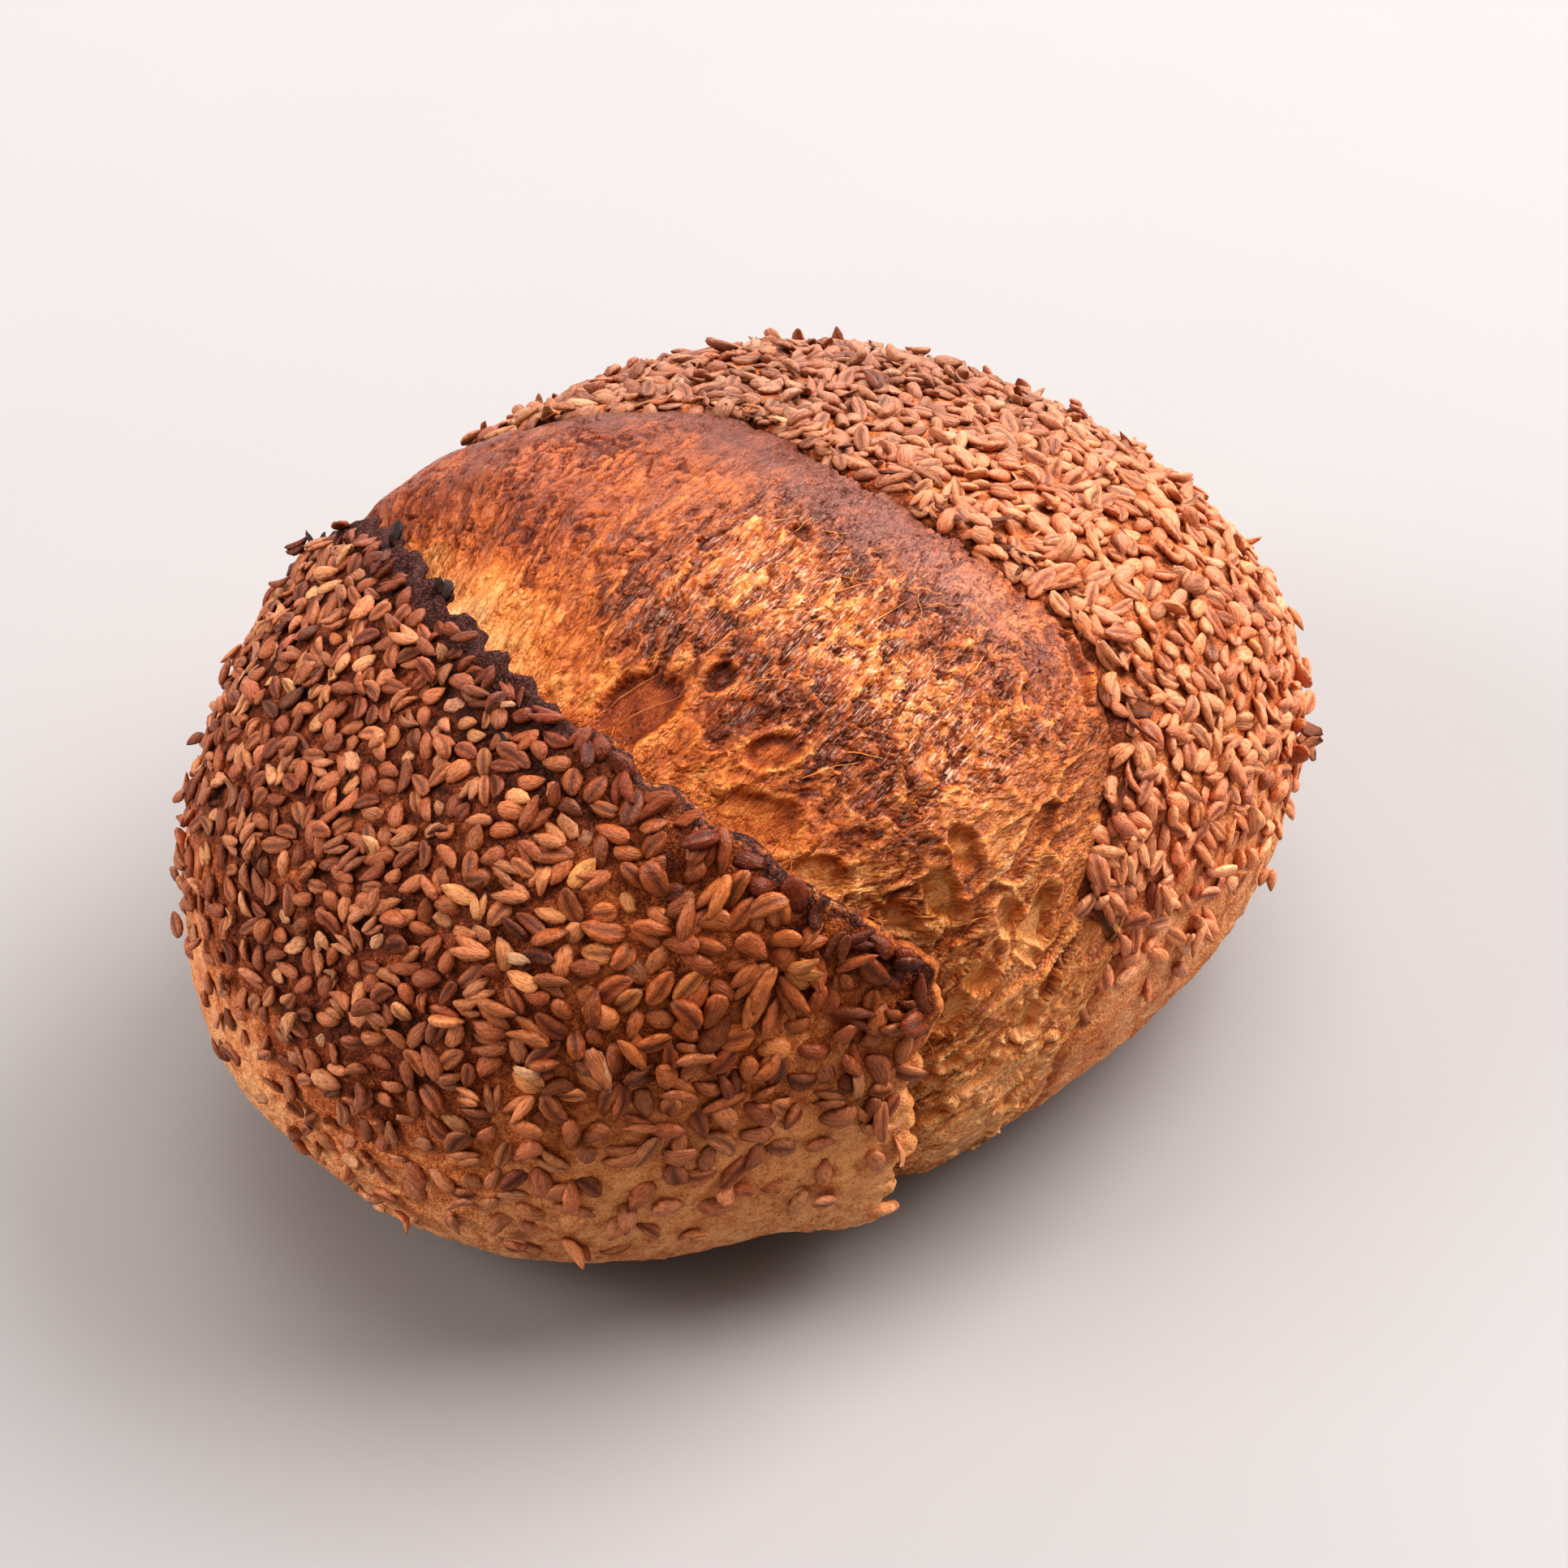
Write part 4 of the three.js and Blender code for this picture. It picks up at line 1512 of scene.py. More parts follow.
        # Painted shade: the skin's cracks are darkened.
        bake_and_painted_shading += zones.skin * (0.2 * grain.cracks + 0.12 * grain.nicks)
        # Painted shade: the deeper cells of the open crumb are darker, and walls and shallow cells paler.
        bake_and_painted_shading += 0.16 * zones.open_crumb * (grain.sunk - 0.4)
        # Painted light and shade from the relief: crests are painted paler and hollows darker.
        crest = np.clip((relief - soften(relief, 14)) / 0.35, -1.0, 1.0)
        return bake_and_painted_shading - (0.15 + 0.1 * zones.torn) * crest


class SeedKind(Enum):
    """The kinds of seed that stick to the crust."""

    WHOLE = "seeds_whole"
    GROOVED = "seeds_grooved"
    SPLIT = "seeds_split"
    CHIP = "seeds_chips"


@dataclass(frozen=True)
class SeedShape:
    """Sizes of one kind of seed, in millimetres, and how it is formed."""

    kind: SeedKind
    share: float
    length: float
    width: float
    thick: float
    tip: float = 0.75
    tail: float = 0.5
    groove: float = 0.0
    halves: int = 1
    splay: float = 0.0
    ragged: float = 0.0
    pale: float = 0.0
    rows: int = 6
    columns: int = 12

    def pattern(self) -> tuple[Array, list[Array], Array, Array]:
        """Models one seed.

        Returns:
            Its corners in millimetres, its faces, each corner's place along and across it, and how far each
            corner is darkened, towards the tip and by painted shade in the crease.
        """
        sphere = {"segments": self.columns, "ring_count": self.rows, "radius": 1.0}
        piece = add_primitive(bpy.ops.mesh.primitive_uv_sphere_add, "seed", **sphere)
        ball = corners(piece)
        faces = [np.array(face) for face in ordered_faces(piece)]
        bpy.data.objects.remove(piece, do_unlink=True)
        along = ball[:, 2]
        ring = np.maximum(np.hypot(ball[:, 0], ball[:, 1]), 1e-6)
        across, up = ball[:, 0] / ring, ball[:, 1] / ring
        peak = (self.tail - self.tip) / (self.tail + self.tip)
        full = (1.0 - peak) ** self.tip * (1.0 + peak) ** self.tail
        body = (1.0 - along) ** self.tip * np.maximum(1.0 + along, 0.0) ** self.tail / full
        rise = np.where(up > 0, np.abs(up) ** 0.9, -0.7 * np.abs(up))
        crease = hump(across, 0.0, 0.3) * (up > 0) * np.minimum(body * 1.2, 1.0)
        rim = 1.0 + self.ragged * np.sin(np.arange(len(ball)) * GOLDEN_ANGLE)
        grain = np.stack([along * self.length / 2.0, across * body * self.width / 2.0], -1)
        height = (rise * body - self.groove * crease) * self.thick / 2.0
        half = np.concatenate([grain * rim[:, None], height[:, None]], -1)
        # Darker towards the tip, and painted shade in the crease of a grooved seed.
        dark = np.maximum(0.75 * ease(0.7, 1.0, along), 0.9 * crease * (self.groove > 0.0))
        points, every = [], []
        for k in range(self.halves):
            turn = np.radians(self.splay) * (k - (self.halves - 1) / 2.0)
            spun = half.copy()
            spun[:, 0] = half[:, 0] * np.cos(turn) - half[:, 1] * np.sin(turn)
            spun[:, 1] = half[:, 0] * np.sin(turn) + half[:, 1] * np.cos(turn)
            spun[:, 1] += 1.1 * turn * self.length / 2.0
            spun[:, 2] += 0.45 * k * self.thick
            points.append(spun)
            every.extend(face + k * len(half) for face in faces)
        return np.concatenate(points), every, np.tile(grain, (self.halves, 1)), np.tile(dark, self.halves)


SEED_SHAPES = (
    SeedShape(SeedKind.WHOLE, 0.42, 4.15, 2.25, 1.55),
    SeedShape(SeedKind.GROOVED, 0.32, 4.2, 2.3, 1.5, tip=0.65, groove=0.34),
    SeedShape(
        SeedKind.SPLIT,
        share=0.15,
        length=4.3,
        width=1.6,
        thick=1.2,
        tip=0.8,
        tail=0.6,
        halves=2,
        splay=24.0,
        pale=0.25,
        rows=5,
        columns=8,
    ),
    SeedShape(SeedKind.CHIP, 0.11, 3.2, 2.3, 0.7, tip=0.5, ragged=0.22, pale=0.6, rows=4, columns=9),
)


@dataclass(frozen=True)
class SeedTints:
    """Seed colours, with what scorching leaves of them, the painted light on the lowest seeds of the slashed
    cap, and the painted light and shade over the plain cap.

    Brown, amber and tan each run from dark to pale, with places from 0 to 1.
    """

    brown: Shades = (
        (0.0, (0.10, 0.028, 0.014)),
        (0.4, (0.36, 0.114, 0.048)),
        (0.65, (0.48, 0.175, 0.076)),
        (1.0, (0.72, 0.37, 0.175)),
    )
    amber: Shades = (
        (0.0, (0.12, 0.029, 0.009)),
        (0.4, (0.34, 0.092, 0.022)),
        (0.65, (0.45, 0.145, 0.038)),
        (1.0, (0.70, 0.31, 0.10)),
    )
    tan: Shades = (
        (0.0, (0.26, 0.076, 0.036)),
        (0.4, (0.59, 0.228, 0.107)),
        (0.65, (0.645, 0.287, 0.146)),
        (1.0, (0.69, 0.345, 0.188)),
    )
    husk: Colour = (0.74, 0.43, 0.24)
    scorch_keeps: Colour = (0.5, 0.34, 0.27)
    low_light: Colour = (1.16, 1.26, 1.2)
    front_light: Colour = (1.1, 1.1, 1.1)
    back_shade: Colour = (0.52, 0.585, 0.74)

    @staticmethod
    def along(shades: Shades, tint: Array) -> Array:
        """Reads a row of shades at each seed's tint."""
        places, colours = zip(*shades)
        return np.stack([np.interp(tint, places, channel) for channel in zip(*colours)], -1)


def join_copies(name: str, points: Array, faces: list[Array]) -> Piece:
    """Joins many copies of one pattern into a piece.

    Args:
        name: The piece's name.
        points: Corners of every copy in millimetres, as copies by corners by three.
        faces: The pattern's faces.

    Returns:
        The joined piece, without a finish.
    """
    count, size = points.shape[:2]
    ring = np.concatenate(faces)
    sides = np.array([len(face) for face in faces])
    starts = np.concatenate([[0], np.cumsum(sides)[:-1]])
    steps = np.arange(count)[:, None]
    mesh = bpy.data.meshes.new(name)
    mesh.vertices.add(count * size)
    mesh.vertices.foreach_set("co", (points * MM).astype(np.float32).ravel())
    mesh.loops.add(count * len(ring))
    mesh.loops.foreach_set("vertex_index", (ring[None] + steps * size).astype(np.int32).ravel())
    mesh.polygons.add(count * len(sides))
    mesh.polygons.foreach_set("loop_start", (starts[None] + steps * len(ring)).astype(np.int32).ravel())
    mesh.update(calc_edges=True)
    piece = bpy.data.objects.new(name, mesh)
    bpy.context.scene.collection.objects.link(piece)
    return piece


@dataclass
class SeedBed:
    """Where the seeds lie: thrown over the crust by a seeded rule, and kept where they have space."""

    crust: Crust
    throws: int = 60000
    clearance: float = 1.28
    reach: float = 1.08
    seed: int = 77
    top_share: float = 0.1
    top_spread: float = 6.5
    shelf_step: float = 5.0
    top_lift: float = 1.25
    tints: SeedTints = SeedTints()
    places: Array = field(default_factory=unset)
    normals: Array = field(default_factory=unset)
    headings: Array = field(default_factory=unset)
    scorch: Array = field(default_factory=unset)
    amber: Array = field(default_factory=unset)
    perch: Array = field(default_factory=unset)

    def throw(self, piece: Piece) -> None:
        """Throws seeds over a piece and keeps those that find space.

        Args:
            piece: The crust.
        """
        rng = np.random.default_rng(self.seed)
        index = np.array(
            [
                (face[0], face[k], face[k + 1])
                for face in ordered_faces(piece)
                for k in range(1, len(face) - 1)
            ]
        )
        a, b, c = (self.crust.points[index[:, k]] for k in range(3))
        cross = np.cross(b - a, c - a)
        area = np.linalg.norm(cross, axis=1)
        cover = 1.0 - self.crust.bare[index].mean(1)
        chance = np.cumsum(area * cover)
        picks = np.searchsorted(chance, rng.random(self.throws) * chance[-1])
        u, v = rng.random((2, self.throws))
        flip = u + v > 1.0
        u, v = np.where(flip, 1.0 - u, u)[:, None], np.where(flip, 1.0 - v, v)[:, None]
        spots = a[picks] + u * (b - a)[picks] + v * (c - a)[picks]
        normals = cross[picks] / np.maximum(area[picks], 1e-9)[:, None]
        amber = self.crust.amber[index].mean(1)[picks]
        angle = rng.random(self.throws) * 2.0 * np.pi
        side = np.cross(normals, np.array(ASKEW))
        side /= np.linalg.norm(side, axis=1, keepdims=True)
        heading = side * np.cos(angle)[:, None] + np.cross(normals, side) * np.sin(angle)[:, None]
        loose = 1.25 * amber + 0.75 * ease(0.0, 40.0, spots[:, 0]) * ease(10.0, 50.0, -spots[:, 1])
        loose = loose + 3.2 * (1.0 - cover[picks])
        clearance = self.clearance + loose * rng.random(self.throws) ** 0.5
        above = rng.random(self.throws) < self.top_share
        clearance = np.where(above, self.top_spread * clearance, clearance)
        kept = self._settle(spots, heading, clearance, above)
        self.places, self.normals, self.headings = spots[kept], normals[kept], heading[kept]
        self.scorch = self.crust.scorch[index].mean(1)[picks][kept]
        self.amber, self.perch = amber[kept], above[kept]
        log.info("seed bed: %d seeds found space, %d of them on others", len(kept), int(self.perch.sum()))

    def _settle(self, spots: Array, heading: Array, clearance: Array, above: Array) -> list[int]:
        """Tells which thrown seeds find space beside those thrown before them.

        Args:
            spots: Where each seed fell.
            heading: The way it points.
            clearance: The gap it needs.
            above: Whether it lies on other seeds.

        Returns:
            The numbers of the seeds that stay.
        """
        ends = np.array([-1.0, 0.0, 1.0])[None, :, None] * self.reach
        stops = spots[:, None, :] + heading[:, None, :] * ends
        kept: list[int] = []
        shelf: dict[tuple[int, int, int, bool], list[int]] = {}
        homes = np.floor(spots / self.shelf_step).astype(int)
        for i, ((x, y, z), level) in enumerate(zip(homes, above)):
            near = [j for p, q, r in NEIGHBOURS for j in shelf.get((x + p, y + q, z + r, level), ())]
            if near:
                gaps = np.linalg.norm(stops[near].reshape(-1, 1, 3) - stops[i][None, :, :], axis=-1)
                if gaps.min() < clearance[i]:
                    continue
            kept.append(i)
            shelf.setdefault((x, y, z, level), []).append(i)
        return kept

    def lay(self, shapes: tuple[SeedShape, ...], finish: Finish) -> None:
        """Lays each kind of seed as one piece.

        Args:
            shapes: The kinds of seed.
            finish: Their material.
        """
        rng = np.random.default_rng(self.seed + 1)
        edges = np.cumsum([shape.share for shape in shapes])
        kinds = np.searchsorted(edges / edges[-1], rng.random(len(self.places)))
        for k, shape in enumerate(shapes):
            self._lay_kind(shape, np.flatnonzero(kinds == k), finish, rng)

    def _skins(self, shape: SeedShape, chosen: Array, zone: Array, rng: np.random.Generator) -> Array:
        """Draws each seed's colour, with painted light and shade.

        Args:
            shape: The kind of seed.
            chosen: Which places it takes.
            zone: How far each seed is on the plain cap, from 0 to 1.
            rng: The run of random numbers.

        Returns:
            One colour for each seed.
        """
        count = len(chosen)
        tint = np.clip(0.5 + rng.normal(0.0, 0.14, count) * (1.0 - 0.2 * zone), 0.0, 1.0)
        odd = rng.random(count)
        tint = np.where(odd < 0.1, 0.12 + 0.2 * rng.random(count), tint)
        tint = np.where(odd > 0.9, 0.66 + 0.3 * rng.random(count), tint)
        amber, zone = self.amber[chosen][:, None], zone[:, None]
        scorch, level = self.scorch[chosen][:, None], self.places[chosen, 2][:, None]
        tints = self.tints
        brown, clear, tan = (tints.along(row, tint) for row in (tints.brown, tints.amber, tints.tan))
        skin = blend(brown, clear, amber)
        skin = blend(skin, 0.85 * tan, 0.55 * (1.0 - ease(36.0, 60.0, level)))
        lowest = 1.0 - ease(14.0, 36.0, level)
        # Painted light: the lowest seeds take the pale tan colour, lightened by the low light.
        skin = blend(blend(skin, tan * np.array(tints.low_light), 0.85 * lowest), tan, zone)
        bleach = shape.pale * rng.random((count, 1)) * (1.0 - 0.8 * amber) * (1.0 - scorch)
        skin = blend(skin, np.array(tints.husk), bleach * (1.0 - 0.6 * zone))
        skin = skin * rng.normal(1.0, 0.025, (count, 3)) * rng.normal(1.0, 0.08, (count, 1))
        # Painted light and shade over the plain cap: lighter on the near side and low down, darker on the
        # far side and high up.
        side = ease(-40.0, 40.0, self.places[chosen, 1])[:, None]
        painted_light_and_shade = blend(np.array(tints.front_light), np.array(tints.back_shade), side)
        painted_light_and_shade = painted_light_and_shade * blend(1.14, 0.95, ease(38.0, 78.0, level))
        skin = skin * blend(1.0, painted_light_and_shade, zone)
        return np.clip(blend(skin, skin * np.array(tints.scorch_keeps), scorch), 0.0, 1.0)

    def _lay_kind(
        self, shape: SeedShape, chosen: Array, finish: Finish, rng: np.random.Generator
    ) -> None:
        """Copies one seed to its places and joins the copies.

        Args:
            shape: The kind of seed.
            chosen: Which places it takes.
            finish: Its material.
            rng: The run of random numbers.
        """
        pattern, faces, grain, dark = shape.pattern()
        count, size = len(chosen), len(pattern)
        x, y = self.places[chosen, 0], self.places[chosen, 1]
        zone = ease(-25.0, 15.0, x) * (1.0 - 0.45 * ease(0.0, 45.0, y))
        above = self.perch[chosen][:, None] * 1.0
        tilt = blend(0.2, 0.3, zone)[:, None] + 0.25 * above
        normal = self.normals[chosen] + tilt * rng.normal(0.0, 1.0, (count, 3))
        normal /= np.linalg.norm(normal, axis=1, keepdims=True)
        ahead = self.headings[chosen]
        ahead = ahead - normal * np.einsum("ij,ij->i", ahead, normal)[:, None]
        ahead /= np.linalg.norm(ahead, axis=1, keepdims=True)
        turn = np.stack([ahead, np.cross(normal, ahead), normal], -1)
        grow = rng.normal(1.0, 0.1, (count, 1, 3)).clip(0.72, 1.3) * rng.normal(1.0, 0.07, (count, 1, 1))
        grow = grow * (1.0 + 0.34 * self.amber[chosen] + 0.2 * zone)[:, None, None]
        seeds = pattern[None] * grow
        lengthwise = (grain[:, 0] * 2.0 / shape.length) ** 2
        seeds[..., 2] += rng.normal(0.0, 0.12, (count, 1)) * shape.length * lengthwise
        seeds[..., 1] += rng.normal(0.0, 0.08, (count, 1)) * shape.length * lengthwise
        lift = (0.12 + 0.3 * rng.random((count, 1)) ** 2) * shape.thick + self.top_lift * above
        centre = self.places[chosen] + self.normals[chosen] * lift
        points = np.einsum("nij,nkj->nki", turn, seeds) + centre[:, None, :]
        piece = join_copies(shape.kind.value, points, faces)
        write_layer(piece, "skin", np.repeat(self._skins(shape, chosen, zone, rng), size, 0))
        place = np.broadcast_to(grain[None], (count, size, 2))
        shift = np.broadcast_to(rng.random((count, 1, 1)) * MARK_SHIFT, (count, size, 1))
        write_layer(piece, "mark", np.concatenate([place, shift], -1).reshape(-1, 3))
        # The crease layer holds the darker tip and the painted shade in the crease.
        write_layer(piece, "crease", np.tile(dark, count))
        hand_over(piece, finish)


class SliverTone(Enum):
    """Colours of the loose slivers, dark to pale."""

    CHARRED = (0.030, 0.014, 0.012)
    BROWN = (0.22, 0.068, 0.030)
    TAN = (0.50, 0.185, 0.078)
    STRAW = (0.62, 0.28, 0.12)
    PALE = (0.72, 0.42, 0.24)


@dataclass(frozen=True)
class Sliver:
    """One loose sliver: its place, how it is turned and tipped up, and its sizes in millimetres."""

    sweep: float
    roll: float
    turn: float
    tip_up: float
    length: float
    width: float
    tone: SliverTone
    height: float = 0.6


MARGIN_ODDS = {
    SliverTone.BROWN: 0.33,
    SliverTone.TAN: 0.4,
    SliverTone.STRAW: 0.22,
    SliverTone.PALE: 0.05,
}

SINGLE_SLIVERS = (
    Sliver(45.1, 9.0, 75.0, 35.0, 4.6, 1.1, SliverTone.PALE, 2.8),
    Sliver(44.0, 6.5, 60.0, 15.0, 5.0, 1.2, SliverTone.BROWN, 2.4),
    Sliver(43.0, 11.5, 95.0, 10.0, 4.6, 1.3, SliverTone.CHARRED, 2.2),
    Sliver(86.3, 82.0, 80.0, 6.0, 7.6, 0.9, SliverTone.STRAW, 0.8),
    Sliver(87.0, 82.6, 84.0, 3.0, 6.8, 0.8, SliverTone.TAN, 0.7),
    Sliver(90.1, 91.0, 70.0, 12.0, 5.0, 1.6, SliverTone.TAN, 0.6),
    Sliver(133.6, 79.0, 40.0, 42.0, 4.6, 2.4, SliverTone.BROWN, 2.0),
    Sliver(134.6, 82.0, 110.0, 36.0, 4.4, 2.2, SliverTone.TAN, 1.8),
    Sliver(132.6, 81.0, -10.0, 48.0, 4.2, 2.0, SliverTone.TAN, 1.8),
    Sliver(27.8, 59.7, 20.0, 22.0, 4.2, 2.2, SliverTone.PALE, 1.4),
    Sliver(28.6, 60.8, 80.0, 12.0, 3.8, 1.8, SliverTone.STRAW, 1.3),
    Sliver(33.9, 62.6, 85.0, 8.0, 6.2, 2.4, SliverTone.TAN, 1.3),
    Sliver(34.3, 63.8, 95.0, 14.0, 5.4, 1.6, SliverTone.PALE, 1.4),
    Sliver(32.1, 40.7, 40.0, 22.0, 4.0, 1.8, SliverTone.PALE, 1.6),
    Sliver(57.0, 80.5, 100.0, 10.0, 5.6, 2.2, SliverTone.STRAW, 2.8),
    Sliver(57.0, 86.0, 60.0, 8.0, 4.8, 1.5, SliverTone.TAN, 2.8),
)

# Roll of each burnt shard on the ear's edge, and how far it is tipped up
SHARDS = (
    (-66.0, 40.0),
    (-57.0, 70.0),
    (-54.0, 45.0),
    (-31.0, 45.0),
    (-29.0, 72.0),
    (-14.5, 70.0),
    (-13.0, 40.0),
)


@dataclass
class Slivers:
    """Torn slivers of crust and husk along the margin, shards on the ear, and the few that stand out."""

    form: LoafForm
    crust: Crust
    seed: int = 91
    margin_count: int = 120
    thick: float = 0.55

    def _shards(self) -> list[Sliver]:
        """Sets burnt shards on the ear's edge.

        Returns:
            The shards.
        """
        shards = []
        for roll, up in SHARDS:
            edge, lift, _ = self.crust.ear_edge(np.array([roll]))
            sweep, height = float(edge[0]) + 0.2, float(lift[0]) - 0.3
            shards.append(Sliver(sweep, roll, 25.0, up, 3.0, 2.8, SliverTone.CHARRED, height))
        return shards

    def _margin(self, rng: np.random.Generator) -> list[Sliver]:
        """Strews slivers along the torn margin of the plain cap.

        Args:
            rng: The run of random numbers.

        Returns:
            The slivers.
        """
        tones, odds = zip(*MARGIN_ODDS.items())
        slivers = []
        for _ in range(self.margin_count):
            roll = float(rng.uniform(-62.0, 84.0))
            edge, stand = self.crust.margin_edge(np.array([roll]))
            tone = tones[int(rng.choice(len(tones), p=odds))]
            slivers.append(
                Sliver(
                    float(edge[0]) + float(rng.uniform(0.0, 3.2)),
                    roll,
                    90.0 + float(rng.normal(0.0, 32.0)),
                    float(rng.normal(8.0, 12.0)),
                    float(rng.uniform(2.8, 6.4)),
                    float(rng.uniform(0.8, 1.9)),
                    tone,
                    float(stand[0]) + 0.45,
                )
            )
        return slivers

    def build(self, finish: Finish) -> None:
        """Builds all the slivers as one piece.

        Args:
            finish: Their material.
        """
        rng = np.random.default_rng(self.seed)
        shape = SeedShape(SeedKind.CHIP, 1.0, 1.0, 1.0, 1.0, tip=0.45, tail=0.35, rows=6, columns=8)
        pattern, faces, grain, dark = shape.pattern()
        slivers = [*SINGLE_SLIVERS, *self._shards(), *self._margin(rng)]
        size = len(pattern)
        points, skins = [], []
        for sliver in slivers:
            ahead, round_, out = self.form.axes(sliver.sweep, sliver.roll)
            turn, up = np.radians(sliver.turn), np.radians(sliver.tip_up)
            flat = ahead * np.cos(turn) + round_ * np.sin(turn)
            long = flat * np.cos(up) + out * np.sin(up)
            over = out * np.cos(up) - flat * np.sin(up)
            over = over + 0.35 * rng.normal() * np.cross(long, over)
            over /= np.linalg.norm(over)
            ways = np.stack([long, np.cross(over, long), over], -1)
            leaf = pattern * np.array([sliver.length, sliver.width, self.thick + 0.1 * sliver.width])
            leaf[:, :2] *= 1.0 + 0.16 * rng.normal(size=(size, 1)).clip(-1.5, 1.5)
            leaf[:, 2] += rng.normal(0.0, 0.1) * sliver.length * (2.0 * pattern[:, 0]) ** 2
            foot = self.form.point(*np.array([[sliver.sweep], [sliver.roll], [sliver.height]]))[0]
            middle = foot + long * np.sin(up) * sliver.length * 0.42
            points.append(leaf @ ways.T + middle)
            skins.append(np.array(sliver.tone.value) * rng.normal(1.0, 0.12))
        piece = join_copies("slivers", np.array(points), faces)
        write_layer(piece, "skin", np.repeat(np.clip(skins, 0.0, 1.0), size, 0))
        shift = np.repeat(rng.random(len(slivers)) * MARK_SHIFT, size)[:, None]
        write_layer(piece, "mark", np.concatenate([np.tile(grain * 4.0, (len(slivers), 1)), shift], -1))
        write_layer(piece, "crease", np.tile(dark, len(slivers)) * 0.4)
        hand_over(piece, finish)


@dataclass
class Fibres:
    """Fine torn threads: a fringe of crumb under the ear, and strands drawn across the open crumb."""

    form: LoafForm
    crust: Crust
    bloom: Bloom
    fringe_count: int = 200
    strand_count: int = 44
    sides: int = 4
    rings: int = 6
    seed: int = 57

    def _fringe(self, rng: np.random.Generator) -> tuple[Array, Array]:
        """Draws the fringe's paths and thicknesses.

        Args:
            rng: The run of random numbers.

        Returns:
            The paths, and a thickness for each.
        """
        paths, widths = [], []
        for k in range(self.fringe_count):
            tuft = k % 5 == 0
            roll = rng.normal(17.0, 1.6) if tuft else rng.uniform(2.0, 62.0)
            edge, lift, half = self.crust.ear_edge(np.array([roll]))
            ahead, round_, out = self.form.axes(float(edge[0]), float(roll))
            foot = self.form.point(edge + 0.2, np.array([roll]), lift - 1.7 * half)[0]
            way = ahead + 0.5 * rng.normal() * round_ + (0.05 + 0.3 * rng.normal()) * out
            length = rng.uniform(1.4, 3.4) if tuft else rng.uniform(0.8, 2.2)
            share = np.linspace(-0.3, 1.0, self.rings)[:, None]
            curl = 0.5 * rng.normal(size=3) - 0.25 * out
            paths.append(foot + length * (share * way / np.linalg.norm(way) + 0.6 * share**2 * curl))
            widths.append(rng.uniform(0.09, 0.2))
        return np.array(paths), np.array(widths)

    def _strands(self, rng: np.random.Generator) -> tuple[Array, Array]:
        """Draws strands that lie on the bloom and lift clear of it between their ends.

        Args:
            rng: The run of random numbers.

        Returns:
            Their paths, and a thickness for each.
        """
        rows, columns = self.bloom.skin.shape[:2]
        roll = np.linspace(self.bloom.first_roll, self.bloom.last_roll, columns)
        paths, widths = [], []
        for _ in range(self.strand_count):
            column = int(np.searchsorted(roll, rng.uniform(8.0, 88.0)))
            row = int(rng.uniform(0.1, 0.72) * rows)
            reach_row, reach_column = rng.uniform(5.0, 16.0), rng.normal(4.0, 6.0)
            share = np.linspace(0.0, 1.0, self.rings)
            r = np.clip(row + share * reach_row, 0, rows - 1).astype(int)
            c = np.clip(column + share * reach_column, 0, columns - 1).astype(int)
            _, _, out = self.form.axes(75.0, float(roll[column]))
            rise = (0.15 + rng.uniform(0.0, 0.7) * np.sin(np.pi * share))[:, None]
            paths.append(self.bloom.skin[r, c] + rise * out)
            widths.append(rng.uniform(0.08, 0.16))
        return np.array(paths), np.array(widths)

    def build(self, finish: Finish) -> None:
        """Builds all the threads as one piece.

        Args:
            finish: Their material.
        """
        rng = np.random.default_rng(self.seed)
        fringe, fringe_width = self._fringe(rng)
        strands, strand_width = self._strands(rng)
        paths = np.concatenate([fringe, strands])
        width = np.concatenate([fringe_width, strand_width])[:, None, None, None]
        way = np.gradient(paths, axis=1)
        way /= np.linalg.norm(way, axis=-1, keepdims=True)
        side = np.cross(way, np.array([0.2, -0.5, 0.84]))
        side /= np.linalg.norm(side, axis=-1, keepdims=True)
        up = np.cross(side, way)
        angle = np.arange(self.sides) * 2.0 * np.pi / self.sides
        taper = np.linspace(1.0, 0.35, self.rings)[None, :, None, None]
        ring = np.cos(angle)[:, None] * side[:, :, None, :] + np.sin(angle)[:, None] * up[:, :, None, :]
        points = (paths[:, :, None, :] + width * taper * ring).reshape(len(paths), -1, 3)
        faces = [np.arange(self.sides)[::-1], np.arange(self.sides) + (self.rings - 1) * self.sides]
        for r, k in product(range(self.rings - 1), range(self.sides)):
            first, second = r * self.sides + k, r * self.sides + (k + 1) % self.sides
            faces.append(np.array([first, second, second + self.sides, first + self.sides]))
        piece = join_copies("fibres", points, faces)
        pale = np.concatenate([np.zeros(len(fringe)), np.ones(len(strands))])
        write_layer(piece, "pale", np.repeat(pale, points.shape[1]))
        hand_over(piece, finish)


@dataclass(frozen=True)
class FibreFinish:
    """Threads of torn crumb, orange where they scorched and golden over the open crumb."""

    scorched: Colour = (0.54, 0.165, 0.04)
    golden: Colour = (0.78, 0.33, 0.11)
    shade_keeps: Colour = (0.4, 0.3, 0.26)

    def make(self) -> Finish:
        """Builds the material.

        Returns:
            The material.
        """
        pen = NodePen("torn_thread")
        colour = pen.mix(pen.layer("pale"), self.scorched, self.golden)
        shade = pen.span(pen.noise(1.1, 2.0), 0.35, 0.65, 0.0, 0.6)
        colour = pen.mix(shade, colour, pen.mix(1.0, colour, self.shade_keeps, "MULTIPLY"))
        return pen.finish(
            Base_Color=colour,
            Roughness=0.5,
            Specular_IOR_Level=0.3,
            Subsurface_Weight=0.3,
            Subsurface_Radius=CRUMB_RADIUS,
            Subsurface_Scale=1.0 * MM,
        )


